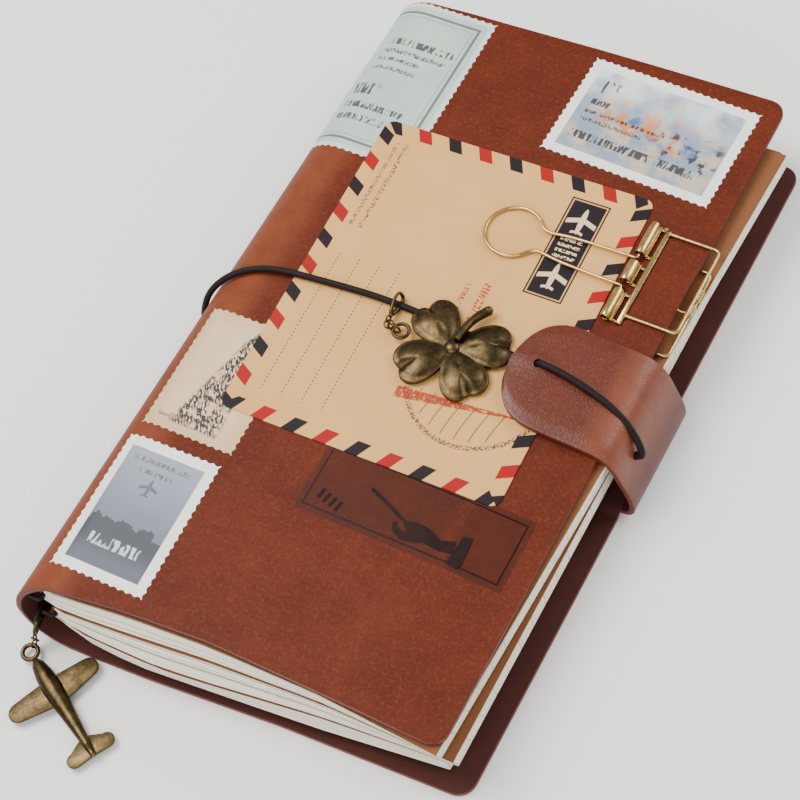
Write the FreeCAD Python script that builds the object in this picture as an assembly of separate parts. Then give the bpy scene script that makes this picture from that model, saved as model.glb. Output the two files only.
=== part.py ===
"""Leather travel notebook, closed and lying on its back cover.

Three saddle-stitched inserts sit in one wrap-round leather cover. An elastic
loop and a leather tab hold the fore-edge shut. The cover carries stamp-shaped
stickers, a postcard, a wire clip and three hanging charms.

Working axes: X from the spine to the fore-edge, Y from the bottom end to the
top end, Z up. Lengths are millimetres. Shapes are drawn with the spine at
X = 0, and save() moves them so that the origin is the middle of the footprint.
"""
import FreeCAD, Part
import math
import os

from FreeCAD import Vector as V

os.makedirs("parts", exist_ok=True)

# ---- driving dimensions -------------------------------------------------
COVER_LENGTH = 220.0        # along the spine
COVER_REACH = 130.2         # spine to the front cover's fore-edge
BACK_REACH = 136.0          # spine to the back cover's fore-edge
BACK_DROP = 2.0             # the back cover sits this much lower in Y
HEIGHT = 27.6               # closed thickness
LEATHER = 1.8
CORNER = 5.0                # corner radius of the leather

SPINE_R = HEIGHT / 2        # outer radius of the wrapped spine
HINGE_GAP_DEG = 1.5         # half the gap between the two spine halves

INSERT_WIDTH = 122.0
INSERT_LENGTH = 207.0
INSERT_THICK = 6.1
INSERT_PITCH = 6.45         # insert to insert
STACK_BOTTOM = 5.3          # underside of the lowest insert
KRAFT = 0.4                 # insert cover stock
LEAF_GAP = 0.3              # gap between the two halves of an insert
GUTTER = 2.2                # fold to the first page edge

ELASTIC_D = 2.3
BAND_D = 1.2
TAB_THICK = 1.6
TAB_Y = (91.0, 125.0)       # the tab's two long edges
TAB_TIP_X = 96.0
TAB_OUTER_X = 141.5         # outermost point of the bend
TAB_TOP = 29.8
TAB_SPLIT_Z = 14.0          # height of the tab's own hinge line
TAB_BEND_R = 14.0           # bend over the front cover's edge
TAB_FOOT_R = 4.0            # bend under the back cover's edge
POCKET_X = 112.0            # inner end of the tab's foot

CARD_THICK = 0.4
STICKER = 0.2
CLIP_WIRE = 1.0
KNUCKLE_R = 1.5

ORIGIN_X = 67.78            # middle of the footprint, from the spine
ORIGIN_Y = 90.85            # and from the front cover's bottom edge


# ---- helpers ------------------------------------------------------------
def block(x0, x1, y0, y1, z0, z1):
    return Part.makeBox(x1 - x0, y1 - y0, z1 - z0, V(x0, y0, z0))


def plate(x0, x1, y0, y1, z0, z1, near=0.01, far=0.01):
    """Flat plate with corner radius near at x0 and far at x1."""
    def corner(cx, cy, r, a0):
        mid = math.radians(a0 + 45)
        a, b = math.radians(a0), math.radians(a0 + 90)
        return Part.Arc(V(cx + r * math.cos(a), cy + r * math.sin(a), z0),
                        V(cx + r * math.cos(mid), cy + r * math.sin(mid), z0),
                        V(cx + r * math.cos(b), cy + r * math.sin(b), z0)).toShape()
    arcs = [corner(x1 - far, y1 - far, far, 0), corner(x0 + near, y1 - near, near, 90),
            corner(x0 + near, y0 + near, near, 180), corner(x1 - far, y0 + far, far, 270)]
    edges = []
    for i, arc in enumerate(arcs):
        edges.append(arc)
        start = arc.Vertexes[-1].Point
        end = arcs[(i + 1) % 4].Vertexes[0].Point
        edges.append(Part.makeLine(start, end))
    return Part.Face(Part.Wire(edges)).extrude(V(0, 0, z1 - z0))


def polygon(points, z0, z1):
    loop = [V(x, y, z0) for x, y in points]
    return Part.Face(Part.makePolygon(loop + [loop[0]])).extrude(V(0, 0, z1 - z0))


def ring_sector(cx, cz, r_out, r_in, a0, a1, y0, y1):
    """Part of a tube about a Y axis, between two angles measured from +X."""
    def at(r, a):
        a = math.radians(a)
        return V(cx + r * math.cos(a), y0, cz + r * math.sin(a))
    mid = (a0 + a1) / 2
    outer = Part.Arc(at(r_out, a0), at(r_out, mid), at(r_out, a1)).toShape()
    inner = Part.Arc(at(r_in, a1), at(r_in, mid), at(r_in, a0)).toShape()
    sides = [Part.makeLine(at(r_out, a1), at(r_in, a1)), Part.makeLine(at(r_in, a0), at(r_out, a0))]
    wire = Part.Wire([outer, sides[0], inner, sides[1]])
    return Part.Face(wire).extrude(V(0, y1 - y0, 0))


def rounded_path(points, share=0.45):
    """Straight runs joined by tangent arcs, each as large as its runs allow."""
    pts = [V(*p) for p in points]
    edges, here = [], pts[0]
    for a, b, c in zip(pts, pts[1:], pts[2:]):
        back, ahead = (a - b), (c - b)
        short = min(back.Length, ahead.Length) * share
        back.normalize()
        ahead.normalize()
        start, end = b + back * short, b + ahead * short
        half = back.getAngle(ahead) / 2
        radius = short * math.tan(half)
        toward = back + ahead
        toward.normalize()
        centre = b + toward * (radius / math.sin(half))
        middle = centre - toward * radius
        edges.append(Part.makeLine(here, start))
        edges.append(Part.Arc(start, middle, end).toShape())
        here = end
    edges.append(Part.makeLine(here, pts[-1]))
    return Part.Wire(edges)


def tube(points, diameter, share=0.45):
    """Round cord or wire along a rounded path."""
    wire = rounded_path(points, share)
    start = V(*points[0])
    along = V(*points[1]) - start
    profile = Part.Wire(Part.makeCircle(diameter / 2, start, along))
    solid = wire.makePipeShell([profile], True, False)
    ratio = solid.Volume / (wire.Length * math.pi * diameter ** 2 / 4)
    if not solid.isValid() or abs(ratio - 1) > 0.02:
        print("check tube", points[0], "valid", solid.isValid(), "ratio", round(ratio, 3))
    return solid


def hoop(centre, normal, radius, wire):
    return Part.makeTorus(radius, wire / 2, V(*centre), V(*normal))


def chain(spans, radius, wire):
    """Chain of round links, each turned against the next.

    spans is a list of (first link centre, last link centre, number of links).
    """
    links = []
    for first, last, count in spans:
        start, run = V(*first), V(*last) - V(*first)
        upright = run.cross(V(0, 0, 1))
        flat = run.cross(upright)
        for k in range(count):
            normal = flat if len(links) % 2 else upright
            links.append(hoop(start + run * (k / (count - 1)), normal, radius, wire))
    return Part.makeCompound(links)


def joined(shapes):
    whole = shapes[0].multiFuse(shapes[1:]) if len(shapes) > 1 else shapes[0]
    return whole.removeSplitter()


def save(name, shape):
    shape = shape.copy()
    shape.translate(V(-ORIGIN_X, -ORIGIN_Y, 0))
    shape.exportStep(os.path.join("parts", name + ".step"))
    box = shape.BoundBox
    boxes.append(box)
    if not shape.isValid() or not shape.Solids:
        print("check", name, "valid", shape.isValid(), "solids", len(shape.Solids))


boxes = []


# ---- leather cover ------------------------------------------------------
def covers():
    back_y = (-BACK_DROP, COVER_LENGTH - BACK_DROP)
    elastic_y = 107.5
    back = plate(SPINE_R, BACK_REACH, *back_y, 0, LEATHER, far=CORNER)
    # the leather is pressed up over the elastic and over the tab's foot
    ridge = block(SPINE_R, BACK_REACH - 2, elastic_y - 2.5, elastic_y + 2.5, LEATHER, 5.0)
    pad = block(POCKET_X - 2, BACK_REACH - 1.5, TAB_Y[0] - 2, TAB_Y[1] + 2, LEATHER, 3.5)
    back = joined([back, ridge, pad])
    back = back.cut(block(SPINE_R - 1, BACK_REACH + 1, elastic_y - 1.35, elastic_y + 1.35, -1, 4.15))
    back = back.cut(block(POCKET_X - 0.4, BACK_REACH + 1, TAB_Y[0] - 0.4, TAB_Y[1] + 0.4, -1, 1.8))
    save("cover_back", back)

    inner = SPINE_R - LEATHER
    lower = ring_sector(SPINE_R, SPINE_R, SPINE_R, inner, 180 + HINGE_GAP_DEG, 270, *back_y)
    lower = lower.cut(block(2.0, SPINE_R + 1, elastic_y - 1.35, elastic_y + 1.35, -1, 6.2))
    save("spine_back_half", lower)
    upper = ring_sector(SPINE_R, SPINE_R, SPINE_R, inner, 90, 180 - HINGE_GAP_DEG, *back_y)
    save("spine_front_half", upper)
    front = plate(SPINE_R, COVER_REACH, 0, COVER_LENGTH, HEIGHT - LEATHER, HEIGHT, far=CORNER)
    save("cover_front", front)


# ---- closure: leather tab and elastic loop ------------------------------
def tab_profile(offset):
    """The tab's section in X and Z, its face moved inward by offset."""
    top, outer = TAB_TOP - offset, TAB_OUTER_X - offset
    r_bend, r_foot = TAB_BEND_R - offset, TAB_FOOT_R - offset
    bend_x, bend_z = TAB_OUTER_X - TAB_BEND_R, TAB_TOP - TAB_BEND_R
    foot_x, foot_z = TAB_OUTER_X - TAB_FOOT_R, 0.05 + TAB_FOOT_R
    s = math.sqrt(0.5)
    return {
        "tip": V(TAB_TIP_X, 0, top), "bend_start": V(bend_x, 0, top),
        "bend_mid": V(bend_x + r_bend * s, 0, bend_z + r_bend * s),
        "bend_end": V(outer, 0, bend_z), "split_high": V(outer, 0, TAB_SPLIT_Z + 0.2),
        "split_low": V(outer, 0, TAB_SPLIT_Z - 0.2), "foot_start": V(outer, 0, foot_z),
        "foot_mid": V(foot_x + r_foot * s, 0, foot_z - r_foot * s),
        "foot_end": V(foot_x, 0, foot_z - r_foot), "heel": V(POCKET_X, 0, foot_z - r_foot),
    }


def tab():
    o, i = tab_profile(0), tab_profile(TAB_THICK)

    def strip(edges):
        face = Part.Face(Part.Wire(edges))
        face.translate(V(0, TAB_Y[0], 0))
        return face.extrude(V(0, TAB_Y[1] - TAB_Y[0], 0))

    line = Part.makeLine
    front = strip([
        line(o["tip"], o["bend_start"]),
        Part.Arc(o["bend_start"], o["bend_mid"], o["bend_end"]).toShape(),
        line(o["bend_end"], o["split_high"]), line(o["split_high"], i["split_high"]),
        line(i["split_high"], i["bend_end"]),
        Part.Arc(i["bend_end"], i["bend_mid"], i["bend_start"]).toShape(),
        line(i["bend_start"], i["tip"]), line(i["tip"], o["tip"])])
    tip_r = 13.0
    for side in (-1, 1):
        edge_y = TAB_Y[0] if side < 0 else TAB_Y[1]
        corner_box = block(TAB_TIP_X - 1, TAB_TIP_X + tip_r, min(edge_y, edge_y - side * tip_r),
                           max(edge_y, edge_y - side * tip_r), TAB_TOP - 3, TAB_TOP + 1)
        keep = Part.makeCylinder(tip_r, 6, V(TAB_TIP_X + tip_r, edge_y - side * tip_r, TAB_TOP - 4))
        front = front.cut(corner_box.cut(keep))
    # channel for the elastic between the tip and the upper hole
    front = front.cut(block(TAB_TIP_X - 1, 105.4, 108.2, 111.4, TAB_TOP - 3, TAB_TOP + 1))
    # lower hole, through the wall of the bend
    front = front.cut(Part.makeCylinder(1.9, 10, V(TAB_OUTER_X - 6, 100.3, 18.7), V(1, 0, 0)))
    save("tab_front", front)

    back = strip([
        line(o["split_low"], o["foot_start"]),
        Part.Arc(o["foot_start"], o["foot_mid"], o["foot_end"]).toShape(),
        line(o["foot_end"], o["heel"]), line(o["heel"], i["heel"]),
        line(i["heel"], i["foot_end"]),
        Part.Arc(i["foot_end"], i["foot_mid"], i["foot_start"]).toShape(),
        line(i["foot_start"], i["split_low"]), line(i["split_low"], o["split_low"])])
    save("tab_back", back)


def elastics():
    front_strand = [(-1.35, 94.0, 15.2), (-0.7, 96.2, 19.8), (2.5, 100.0, 25.3), (8.2, 104.6, 28.6),
                    (17.0, 108.2, 29.2), (34.0, 110.8, 29.3), (53.0, 112.6, 29.3), (74.0, 111.8, 29.3),
                    (92.0, 110.4, 29.3), (103.4, 109.8, 29.3)]
    save("closure_elastic_front", tube(front_strand, ELASTIC_D))
    over_tab = [(105.6, 109.6, 31.1), (118.0, 108.0, 31.2), (131.0, 106.0, 31.2), (138.1, 103.8, 28.3),
                (142.5, 101.8, 23.2), (143.0, 100.4, 18.7), (139.0, 100.3, 18.4)]
    save("closure_elastic_tab", tube(over_tab, ELASTIC_D))
    back_strand = [(-1.35, 94.0, 12.4), (-1.4, 98.6, 10.8), (-0.7, 104.2, 8.4), (1.1, 107.5, 5.0),
                   (5.2, 107.5, 2.9), (136.7, 107.5, 2.86), (138.4, 106.0, 6.4), (138.5, 102.6, 12.6)]
    save("closure_elastic_back", tube(back_strand, ELASTIC_D))
    knot = Part.makeSphere(1.8, V(4.3, 94.0, 10.6)).cut(block(0, 2.5, 80, 110, 0, 30))
    save("closure_knot", knot)


# ---- inserts ------------------------------------------------------------
# fold X, bottom Y and turn (degrees) of each insert, counted from the top one
INSERTS = [(9.0, 2.0, -1.4), (10.3, 3.0, 0.0), (7.0, 0.5, 0.0)]


def insert_levels(number):
    low = STACK_BOTTOM + (3 - number) * INSERT_PITCH
    return low, low + INSERT_THICK / 2, low + INSERT_THICK


def inserts():
    for number, (x0, y0, turn) in enumerate(INSERTS, start=1):
        low, mid, high = insert_levels(number)
        x1, y1 = x0 + INSERT_WIDTH, y0 + INSERT_LENGTH
        page_in = 0.7               # the pages stop short of their cover

        def place(shape):
            shape.rotate(V(x0, y0, 0), V(0, 0, 1), turn)
            return shape

        for half in ("back", "front"):
            inner = mid - LEAF_GAP / 2 if half == "back" else mid + LEAF_GAP / 2
            outer = low if half == "back" else high
            step = KRAFT if half == "back" else -KRAFT
            sheet = block(x0, x1, y0, y1, *sorted((outer, outer + step)))
            wall = block(x0, x0 + KRAFT, y0, y1, *sorted((outer, inner)))
            save("insert_%d_cover_%s" % (number, half), place(joined([sheet, wall])))
            pages = block(x0 + GUTTER, x1 - page_in, y0 + 0.3, y1 - 0.3, *sorted((outer + step, inner)))
            save("insert_%d_pages_%s" % (number, half), place(pages))

        staples = [block(x0 + 0.6, x0 + 1.1, y - 6, y + 6, mid - 1.7, mid - 1.2)
                   for y in (y0 + 0.25 * INSERT_LENGTH, y0 + 0.75 * INSERT_LENGTH)]
        save("insert_%d_staples" % number, place(Part.makeCompound(staples)))
        gutter_x = x0 + 1.35
        far_x = gutter_x - INSERT_LENGTH * math.sin(math.radians(turn))
        band = [(3.4, y0 - 1.5, mid), (gutter_x, y0 - 1.5, mid), (far_x, y1 + 1.5, mid),
                (3.4, y1 + 1.5, mid)]
        if number == 1:
            band[0] = (6.6, y0 - 1.5, mid)
            band[-1] = (6.6, y1 + 1.5, mid)
        save("insert_%d_band" % number, tube(band, BAND_D, share=0.2))


# ---- postcard and stickers ----------------------------------------------
def turned_plate(x, y, width, length, turn, z0, thick, radius=0.01):
    card = plate(0, width, 0, length, z0, z0 + thick, near=radius, far=radius)
    card.rotate(V(0, 0, 0), V(0, 0, 1), turn)
    card.translate(V(x, y, 0))
    return card


def paper_goods():
    card = turned_plate(25.8, 63.6, 87.0, 107.0, 1.8, HEIGHT, CARD_THICK, 3.0)
    save("postcard", card)
    label = turned_plate(13.8, 155.0, 22.6, 60.5, 0, HEIGHT, STICKER, 1.5)
    save("sticker_label", label.cut(card))
    save("sticker_map", turned_plate(69.2, 178.6, 54.4, 36.8, -1.9, HEIGHT, STICKER))
    sketch = turned_plate(13.8, 50.4, 23.6, 41.5, 1.0, HEIGHT, STICKER)
    save("sticker_sketch", sketch.cut(card))
    save("sticker_sky", turned_plate(13.8, 2.0, 24.0, 44.0, 1.5, HEIGHT, STICKER))
    film = turned_plate(61.4, 44.6, 63.0, 20.6, 0.4, HEIGHT, STICKER, 1.0)
    save("sticker_film", film.cut(card))


# ---- wire clip ----------------------------------------------------------
LIP_X = 113.2               # knuckle axis
LIP_Z = HEIGHT + KNUCKLE_R + 0.2
FRAME_X = 133.4             # back wire of the two frames
CLIP_Y = (131.5, 165.3)     # ends of the upper lip
FRAME_Y = (134.6, 164.4)    # side wires of the upper frame
LOWER_SHIFT = -6.0          # the lower half sits this much further down
LOWER_Z = HEIGHT - LEATHER - 0.75
HINGE_Z = 26.75
RING_X = 76.5               # centre of the handle's ring
RING_Y = 147.8
RING_R = 8.6
HANDLE_TILT_DEG = -0.7


def frame_wire(z, shift):
    y0, y1 = FRAME_Y[0] + shift, FRAME_Y[1] + shift
    return tube([(LIP_X + 4.9, y0, z), (FRAME_X, y0, z), (FRAME_X, y1, z), (LIP_X + 4.9, y1, z)],
                CLIP_WIRE, share=0.12)


def knuckle(y0, y1):
    shell = Part.makeCylinder(KNUCKLE_R, y1 - y0, V(LIP_X, y0, LIP_Z), V(0, 1, 0))
    return shell.cut(Part.makeCylinder(0.8, y1 - y0 + 2, V(LIP_X, y0 - 1, LIP_Z), V(0, 1, 0)))


def ring_handle():
    """Wire ring with two legs that end in the lip's knuckles."""
    z = LIP_Z
    legs = []
    for side in (-1, 1):
        neck = V(RING_X + RING_R * math.cos(math.radians(30)),
                 RING_Y + side * RING_R * math.sin(math.radians(30)), z)
        lip_y = RING_Y + side * 5.0
        legs.append(tube([tuple(neck), (LIP_X, lip_y, z), (LIP_X, lip_y + side * 3.6, z)],
                         CLIP_WIRE, share=0.3))
    start, end = 30, 330
    middle = V(RING_X - RING_R, RING_Y, z)
    a = V(RING_X + RING_R * math.cos(math.radians(start)), RING_Y + RING_R * math.sin(math.radians(start)), z)
    b = V(RING_X + RING_R * math.cos(math.radians(end)), RING_Y + RING_R * math.sin(math.radians(end)), z)
    path = Part.Wire([Part.Arc(a, middle, b).toShape()])
    tangent = V(-math.sin(math.radians(start)), math.cos(math.radians(start)), 0)
    profile = Part.Wire(Part.makeCircle(CLIP_WIRE / 2, a, tangent))
    ring = path.makePipeShell([profile], True, False)
    beads = [Part.makeSphere(CLIP_WIRE / 2 + 0.02, p) for p in (a, b)]
    whole = joined([ring] + legs + beads)
    whole.rotate(V(LIP_X, 0, LIP_Z), V(0, 1, 0), HANDLE_TILT_DEG)
    return whole


def clip():
    knuckles = [knuckle(CLIP_Y[0], 141.0), knuckle(144.6, 151.0), knuckle(154.6, CLIP_Y[1])]
    strip = block(LIP_X + 0.6, LIP_X + 4.6, *CLIP_Y, HEIGHT + 0.2, HEIGHT + 0.8)
    bore = Part.makeCylinder(0.8, 60, V(LIP_X, CLIP_Y[0] - 5, LIP_Z), V(0, 1, 0))
    sockets = [block(LIP_X + 4.0, LIP_X + 6.0, y - 1.0, y + 1.0, HEIGHT + 0.2, HEIGHT + 1.3)
               for y in FRAME_Y]
    upper_wire_z = HEIGHT + 0.2 + CLIP_WIRE / 2
    frame = frame_wire(upper_wire_z, 0)
    lip = joined(knuckles + [strip.cut(bore)] + sockets).cut(frame)
    save("clip_upper_lip", lip)
    save("clip_upper_frame", frame)
    save("clip_upper_handle", ring_handle())

    low_y = (CLIP_Y[0] + LOWER_SHIFT, CLIP_Y[1] + LOWER_SHIFT)
    lower_frame = frame_wire(LOWER_Z, LOWER_SHIFT)
    lower_lip = block(LIP_X - 1.0, LIP_X + 5.6, *low_y, LOWER_Z - 0.55, LOWER_Z + 0.55)
    save("clip_lower_lip", lower_lip.cut(lower_frame))
    save("clip_lower_frame", lower_frame)
    y = RING_Y + LOWER_SHIFT
    low_handle = tube([(LIP_X - 1.2, y - 5, LOWER_Z), (RING_X, y - 5, LOWER_Z), (RING_X - 7, y, LOWER_Z),
                       (RING_X, y + 5, LOWER_Z), (LIP_X - 1.2, y + 5, LOWER_Z)], CLIP_WIRE * 0.9, share=0.4)
    save("clip_lower_handle", low_handle)

    turns = [hoop((FRAME_X + 0.2, 143.0 + 0.62 * k, HINGE_Z), (0, 1, 0), 0.62, 0.55) for k in range(12)]
    core = Part.makeCylinder(0.4, 9.0, V(FRAME_X + 0.2, 142.0, HINGE_Z), V(0, 1, 0))
    save("clip_spring", joined([core] + turns))


# ---- charms -------------------------------------------------------------
CLOVER_PIVOT = (60.9, 104.2, 30.4)      # where the jump ring holds the charm's eye
CLOVER_CENTRE = (79.0, 105.2)
CLOVER_LEAVES = (26, 143, 226, 314)     # directions of the leaves, degrees
CLOVER_THICK = 3.4
LEAF = 11.0                 # distance from the middle to the middle of a leaf's lobes
LOBE_R = 5.2
EYE_R = 2.3                 # centre line of the charm's eye
JUMP_R = 1.9                # centre line of the jump ring
PLANE_EYE = (5.1, -17.0, 1.5)
PLANE_DIR_DEG = -28.0
MEDAL_CENTRE = (-1.4, 198.0)
MEDAL_R = 7.0
MEDAL_EYE = (-1.4, 206.9, 1.4)


def clover():
    cx, cy = CLOVER_CENTRE
    z0 = HEIGHT + CARD_THICK + 0.2

    def disc(reach, angle, radius):
        a = math.radians(angle)
        middle = V(cx + reach * math.cos(a), cy + reach * math.sin(a), z0)
        return Part.makeCylinder(radius, CLOVER_THICK, middle)

    pieces = [disc(0, 0, 4.0)]
    for angle in CLOVER_LEAVES:
        pieces += [disc(LEAF, angle - 24, LOBE_R), disc(LEAF, angle + 24, LOBE_R), disc(LEAF / 2, angle, 4.2)]
    body = joined(pieces)
    px, py, pz = CLOVER_PIVOT
    ex = px + EYE_R
    body = body.cut(Part.makeCylinder(EYE_R, 8, V(ex, py, z0 - 1)))
    # the back is hollow and the elastic runs through it
    body = body.cut(block(cx - 25, cx + 25, 108.6, 115.4, z0 - 1, z0 + 2.6))
    stem_z = z0 + CLOVER_THICK
    stem = tube([(cx + 3, cy + 5, stem_z), (cx + 6, cy + 11, stem_z), (cx + 4.4, cy + 15.5, stem_z)], 1.9)
    eye = hoop((ex, py, pz), (0, 0, 1), EYE_R, 1.0)
    save("clover_charm", joined([body, stem, eye]))
    save("clover_jump_ring", hoop(CLOVER_PIVOT, (0, 1, 0), JUMP_R, 0.7))
    # a clasp hooked round the elastic, with an eye that holds the jump ring
    eye_r = 1.5
    clasp_x = px - 1.03 - eye_r
    clasp_eye = hoop((clasp_x, py, pz), (0, 0, 1), eye_r, 0.7)
    hook = hoop((clasp_x, 112.6, 29.6), (1, 0, 0), 2.2, 1.2)
    hook = hook.cut(block(clasp_x - 3, clasp_x + 3, 105, 120, 0, HEIGHT + CARD_THICK))
    shank = Part.makeCylinder(0.8, 4.4, V(clasp_x, py + 1.5, 30.2), V(0, 1, 0))
    save("clover_clasp", joined([hook, shank, clasp_eye]))


def airplane():
    """Flat airplane charm, lying nose first at its eye."""
    t0, t1 = 0.1, 2.4
    fuselage = polygon([(3.0, -0.9), (6.5, -2.2), (16, -2.5), (30, -1.5), (38, -0.8), (38, 0.8),
                        (30, 1.5), (16, 2.5), (6.5, 2.2), (3.0, 0.9)], t0, t1)
    wing = polygon([(11.5, -2.0), (21.5, -14.4), (24.0, -14.0), (20.5, -2.0),
                    (20.5, 2.0), (24.0, 14.0), (21.5, 14.4), (11.5, 2.0)], t0, t1 - 0.6)
    tail = polygon([(32.0, -1.0), (37.0, -7.2), (39.0, -7.0), (37.5, -0.8),
                    (37.5, 0.8), (39.0, 7.0), (37.0, 7.2), (32.0, 1.0)], t0, t1 - 0.7)
    eye = hoop((0, 0, PLANE_EYE[2]), (0, 0, 1), 2.0, 1.0)
    neck = block(1.8, 4.5, -0.7, 0.7, PLANE_EYE[2] - 0.6, PLANE_EYE[2] + 0.6)
    whole = joined([fuselage, wing, tail, neck, eye])
    whole.rotate(V(0, 0, 0), V(0, 0, 1), PLANE_DIR_DEG)
    whole.translate(V(PLANE_EYE[0], PLANE_EYE[1], 0))
    save("airplane_charm", whole)

    loop = [(4.6, 1.5, 10.8), (4.6, -3.0, 10.8), (5.1, -8.4, 9.9), (5.6, -9.8, 12.1), (5.1, -8.4, 14.2),
            (4.6, -3.0, 13.2), (4.6, 1.5, 13.2)]
    save("charm_loop_bottom", tube(loop, 1.6))
    # the clasp hangs round the loop's lower strand, and three links lead to the eye
    save("airplane_clasp", hoop((5.3, -7.8, 8.6), (0, 1, 0), 3.0, 0.8))
    save("airplane_chain", chain([((5.3, -9.1, 5.1), (5.1, PLANE_EYE[1] + 2.4, 2.65), 3)], 2.1, 0.7))


def medallion():
    cx, cy = MEDAL_CENTRE
    disc = Part.makeCylinder(MEDAL_R - 1.0, 1.6, V(cx, cy, 0.3))
    rim = hoop((cx, cy, 1.2), (0, 0, 1), MEDAL_R - 1.0, 2.0)
    eye = hoop(MEDAL_EYE, (0, 0, 1), 1.7, 0.8)
    save("medallion_charm", joined([disc, rim, eye]))
    loop = [(4.6, 211.0, 10.8), (4.6, 216.6, 10.8), (4.9, 221.2, 10.0), (5.2, 222.6, 12.1),
            (4.9, 221.2, 14.2), (4.6, 216.6, 13.2), (4.6, 211.0, 13.2)]
    save("charm_loop_top", tube(loop, 1.6))
    along_table = ((-1.4, MEDAL_EYE[1] + 1.85, 2.05), (0.8, 220.6, 2.3), 7)
    up_to_loop = ((1.4, 220.9, 4.0), (4.9, 221.6, 9.0), 4)
    save("medallion_chain", chain([along_table, up_to_loop], 1.5, 0.7))


covers()
tab()
elastics()
inserts()
paper_goods()
clip()
clover()
airplane()
medallion()

low = [min(getattr(b, k) for b in boxes) for k in ("XMin", "YMin", "ZMin")]
high = [max(getattr(b, k) for b in boxes) for k in ("XMax", "YMax", "ZMax")]
print("nodes", len(boxes), "low", [round(v, 2) for v in low], "high", [round(v, 2) for v in high])
print("centre", round((low[0] + high[0]) / 2, 3), round((low[1] + high[1]) / 2, 3))
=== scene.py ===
"""Looks of the leather travel notebook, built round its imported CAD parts.

Lengths are millimetres measured as in the CAD source: x from the spine's
outermost line, y from the front cover's bottom edge, z up from the table.
Each piece is scaled to metres and moved to the shared frame when it is made.
Surface patterns use UV coordinates in millimetres.
"""
import bisect
import functools
import math
import random

import bmesh
import bpy
from mathutils import Matrix, Vector


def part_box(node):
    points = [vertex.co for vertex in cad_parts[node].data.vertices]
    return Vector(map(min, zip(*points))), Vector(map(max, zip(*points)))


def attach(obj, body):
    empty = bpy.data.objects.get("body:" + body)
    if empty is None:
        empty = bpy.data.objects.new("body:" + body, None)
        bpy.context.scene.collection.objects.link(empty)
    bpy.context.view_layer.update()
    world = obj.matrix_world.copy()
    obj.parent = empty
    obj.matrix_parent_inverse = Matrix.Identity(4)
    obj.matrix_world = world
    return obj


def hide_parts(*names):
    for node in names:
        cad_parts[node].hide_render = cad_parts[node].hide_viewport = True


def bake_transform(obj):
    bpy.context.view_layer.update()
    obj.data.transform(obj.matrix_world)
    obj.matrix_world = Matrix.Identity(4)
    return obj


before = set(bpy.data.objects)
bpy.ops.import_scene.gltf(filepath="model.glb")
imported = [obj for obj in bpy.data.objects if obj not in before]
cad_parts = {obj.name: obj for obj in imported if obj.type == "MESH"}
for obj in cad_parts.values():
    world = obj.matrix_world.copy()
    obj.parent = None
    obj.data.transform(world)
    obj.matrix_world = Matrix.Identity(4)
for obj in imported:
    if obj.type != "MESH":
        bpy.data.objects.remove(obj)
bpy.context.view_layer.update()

MM = 0.001
ORIGIN = Vector((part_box("spine_front_half")[0].x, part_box("cover_front")[0].y, 0.0))
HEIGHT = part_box("cover_front")[1].z / MM
COVER_REACH = (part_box("cover_front")[1].x - ORIGIN.x) / MM
BACK_REACH = (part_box("cover_back")[1].x - ORIGIN.x) / MM
COVER_LENGTH = (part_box("cover_front")[1].y - ORIGIN.y) / MM
LEATHER = 1.8
SPINE_R = HEIGHT / 2
CORNER = 5.0


def at(x, y, z):
    """A design point in millimetres, as a point of the shared frame in metres."""
    return ORIGIN + Vector((x, y, z)) * MM


def knots(table, x):
    """Straight-line interpolation in a table of (x, value) pairs."""
    xs = [k[0] for k in table]
    i = min(max(bisect.bisect_right(xs, x), 1), len(xs) - 1)
    (x0, v0), (x1, v1) = table[i - 1], table[i]
    share = min(max((x - x0) / (x1 - x0), 0.0), 1.0)
    return v0 + (v1 - v0) * share


def smooth(low, high, x):
    t = min(max((x - low) / (high - low), 0.0), 1.0)
    return t * t * (3 - 2 * t)


def spread(start, end, step):
    """Evenly spaced numbers from start to end, about step apart."""
    count = max(1, round(abs(end - start) / step))
    return [start + (end - start) * k / count for k in range(count + 1)]


def around(count):
    """Angles of count equal steps round a full turn."""
    return [2 * math.pi * k / count for k in range(count)]


# ---- shader fields --------------------------------------------------------
def rgb(red, green, blue):
    """Linear colour from 0 to 255 display values."""
    def linear(c):
        c /= 255
        return c / 12.92 if c <= 0.04045 else ((c + 0.055) / 1.055) ** 2.4
    return (linear(red), linear(green), linear(blue), 1.0)


class Field:
    """A number that varies over a surface; arithmetic on it adds shader nodes."""

    def __init__(self, paint, socket):
        self.paint, self.socket = paint, socket

    def _math(self, kind, *others):
        return self.paint.math(kind, self, *others)

    __add__ = functools.partialmethod(_math, "ADD")
    __sub__ = functools.partialmethod(_math, "SUBTRACT")
    __mul__ = functools.partialmethod(_math, "MULTIPLY")
    __truediv__ = functools.partialmethod(_math, "DIVIDE")
    __lt__ = functools.partialmethod(_math, "LESS_THAN")
    abs = functools.partialmethod(_math, "ABSOLUTE")
    sin = functools.partialmethod(_math, "SINE")
    floor = functools.partialmethod(_math, "FLOOR")
    power = functools.partialmethod(_math, "POWER")
    mod = functools.partialmethod(_math, "FLOORED_MODULO")
    least = functools.partialmethod(_math, "MINIMUM")
    most = functools.partialmethod(_math, "MAXIMUM")

    def step(self, low, high):
        """0 below low, 1 above high, smooth between; low may be the larger."""
        node = self.paint.node("ShaderNodeMapRange", interpolation_type="SMOOTHSTEP")
        self.paint.link(self.socket, node.inputs["Value"])
        flip = low > high
        node.inputs["From Min"].default_value = min(low, high)
        node.inputs["From Max"].default_value = max(low, high)
        node.inputs["To Min"].default_value = 1.0 if flip else 0.0
        node.inputs["To Max"].default_value = 0.0 if flip else 1.0
        return Field(self.paint, node.outputs["Result"])


MIX_LOW, MIX_HIGH, MIX_RESULT = 6, 7, 2
NOISE_ROUGHNESS = 0.55


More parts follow.
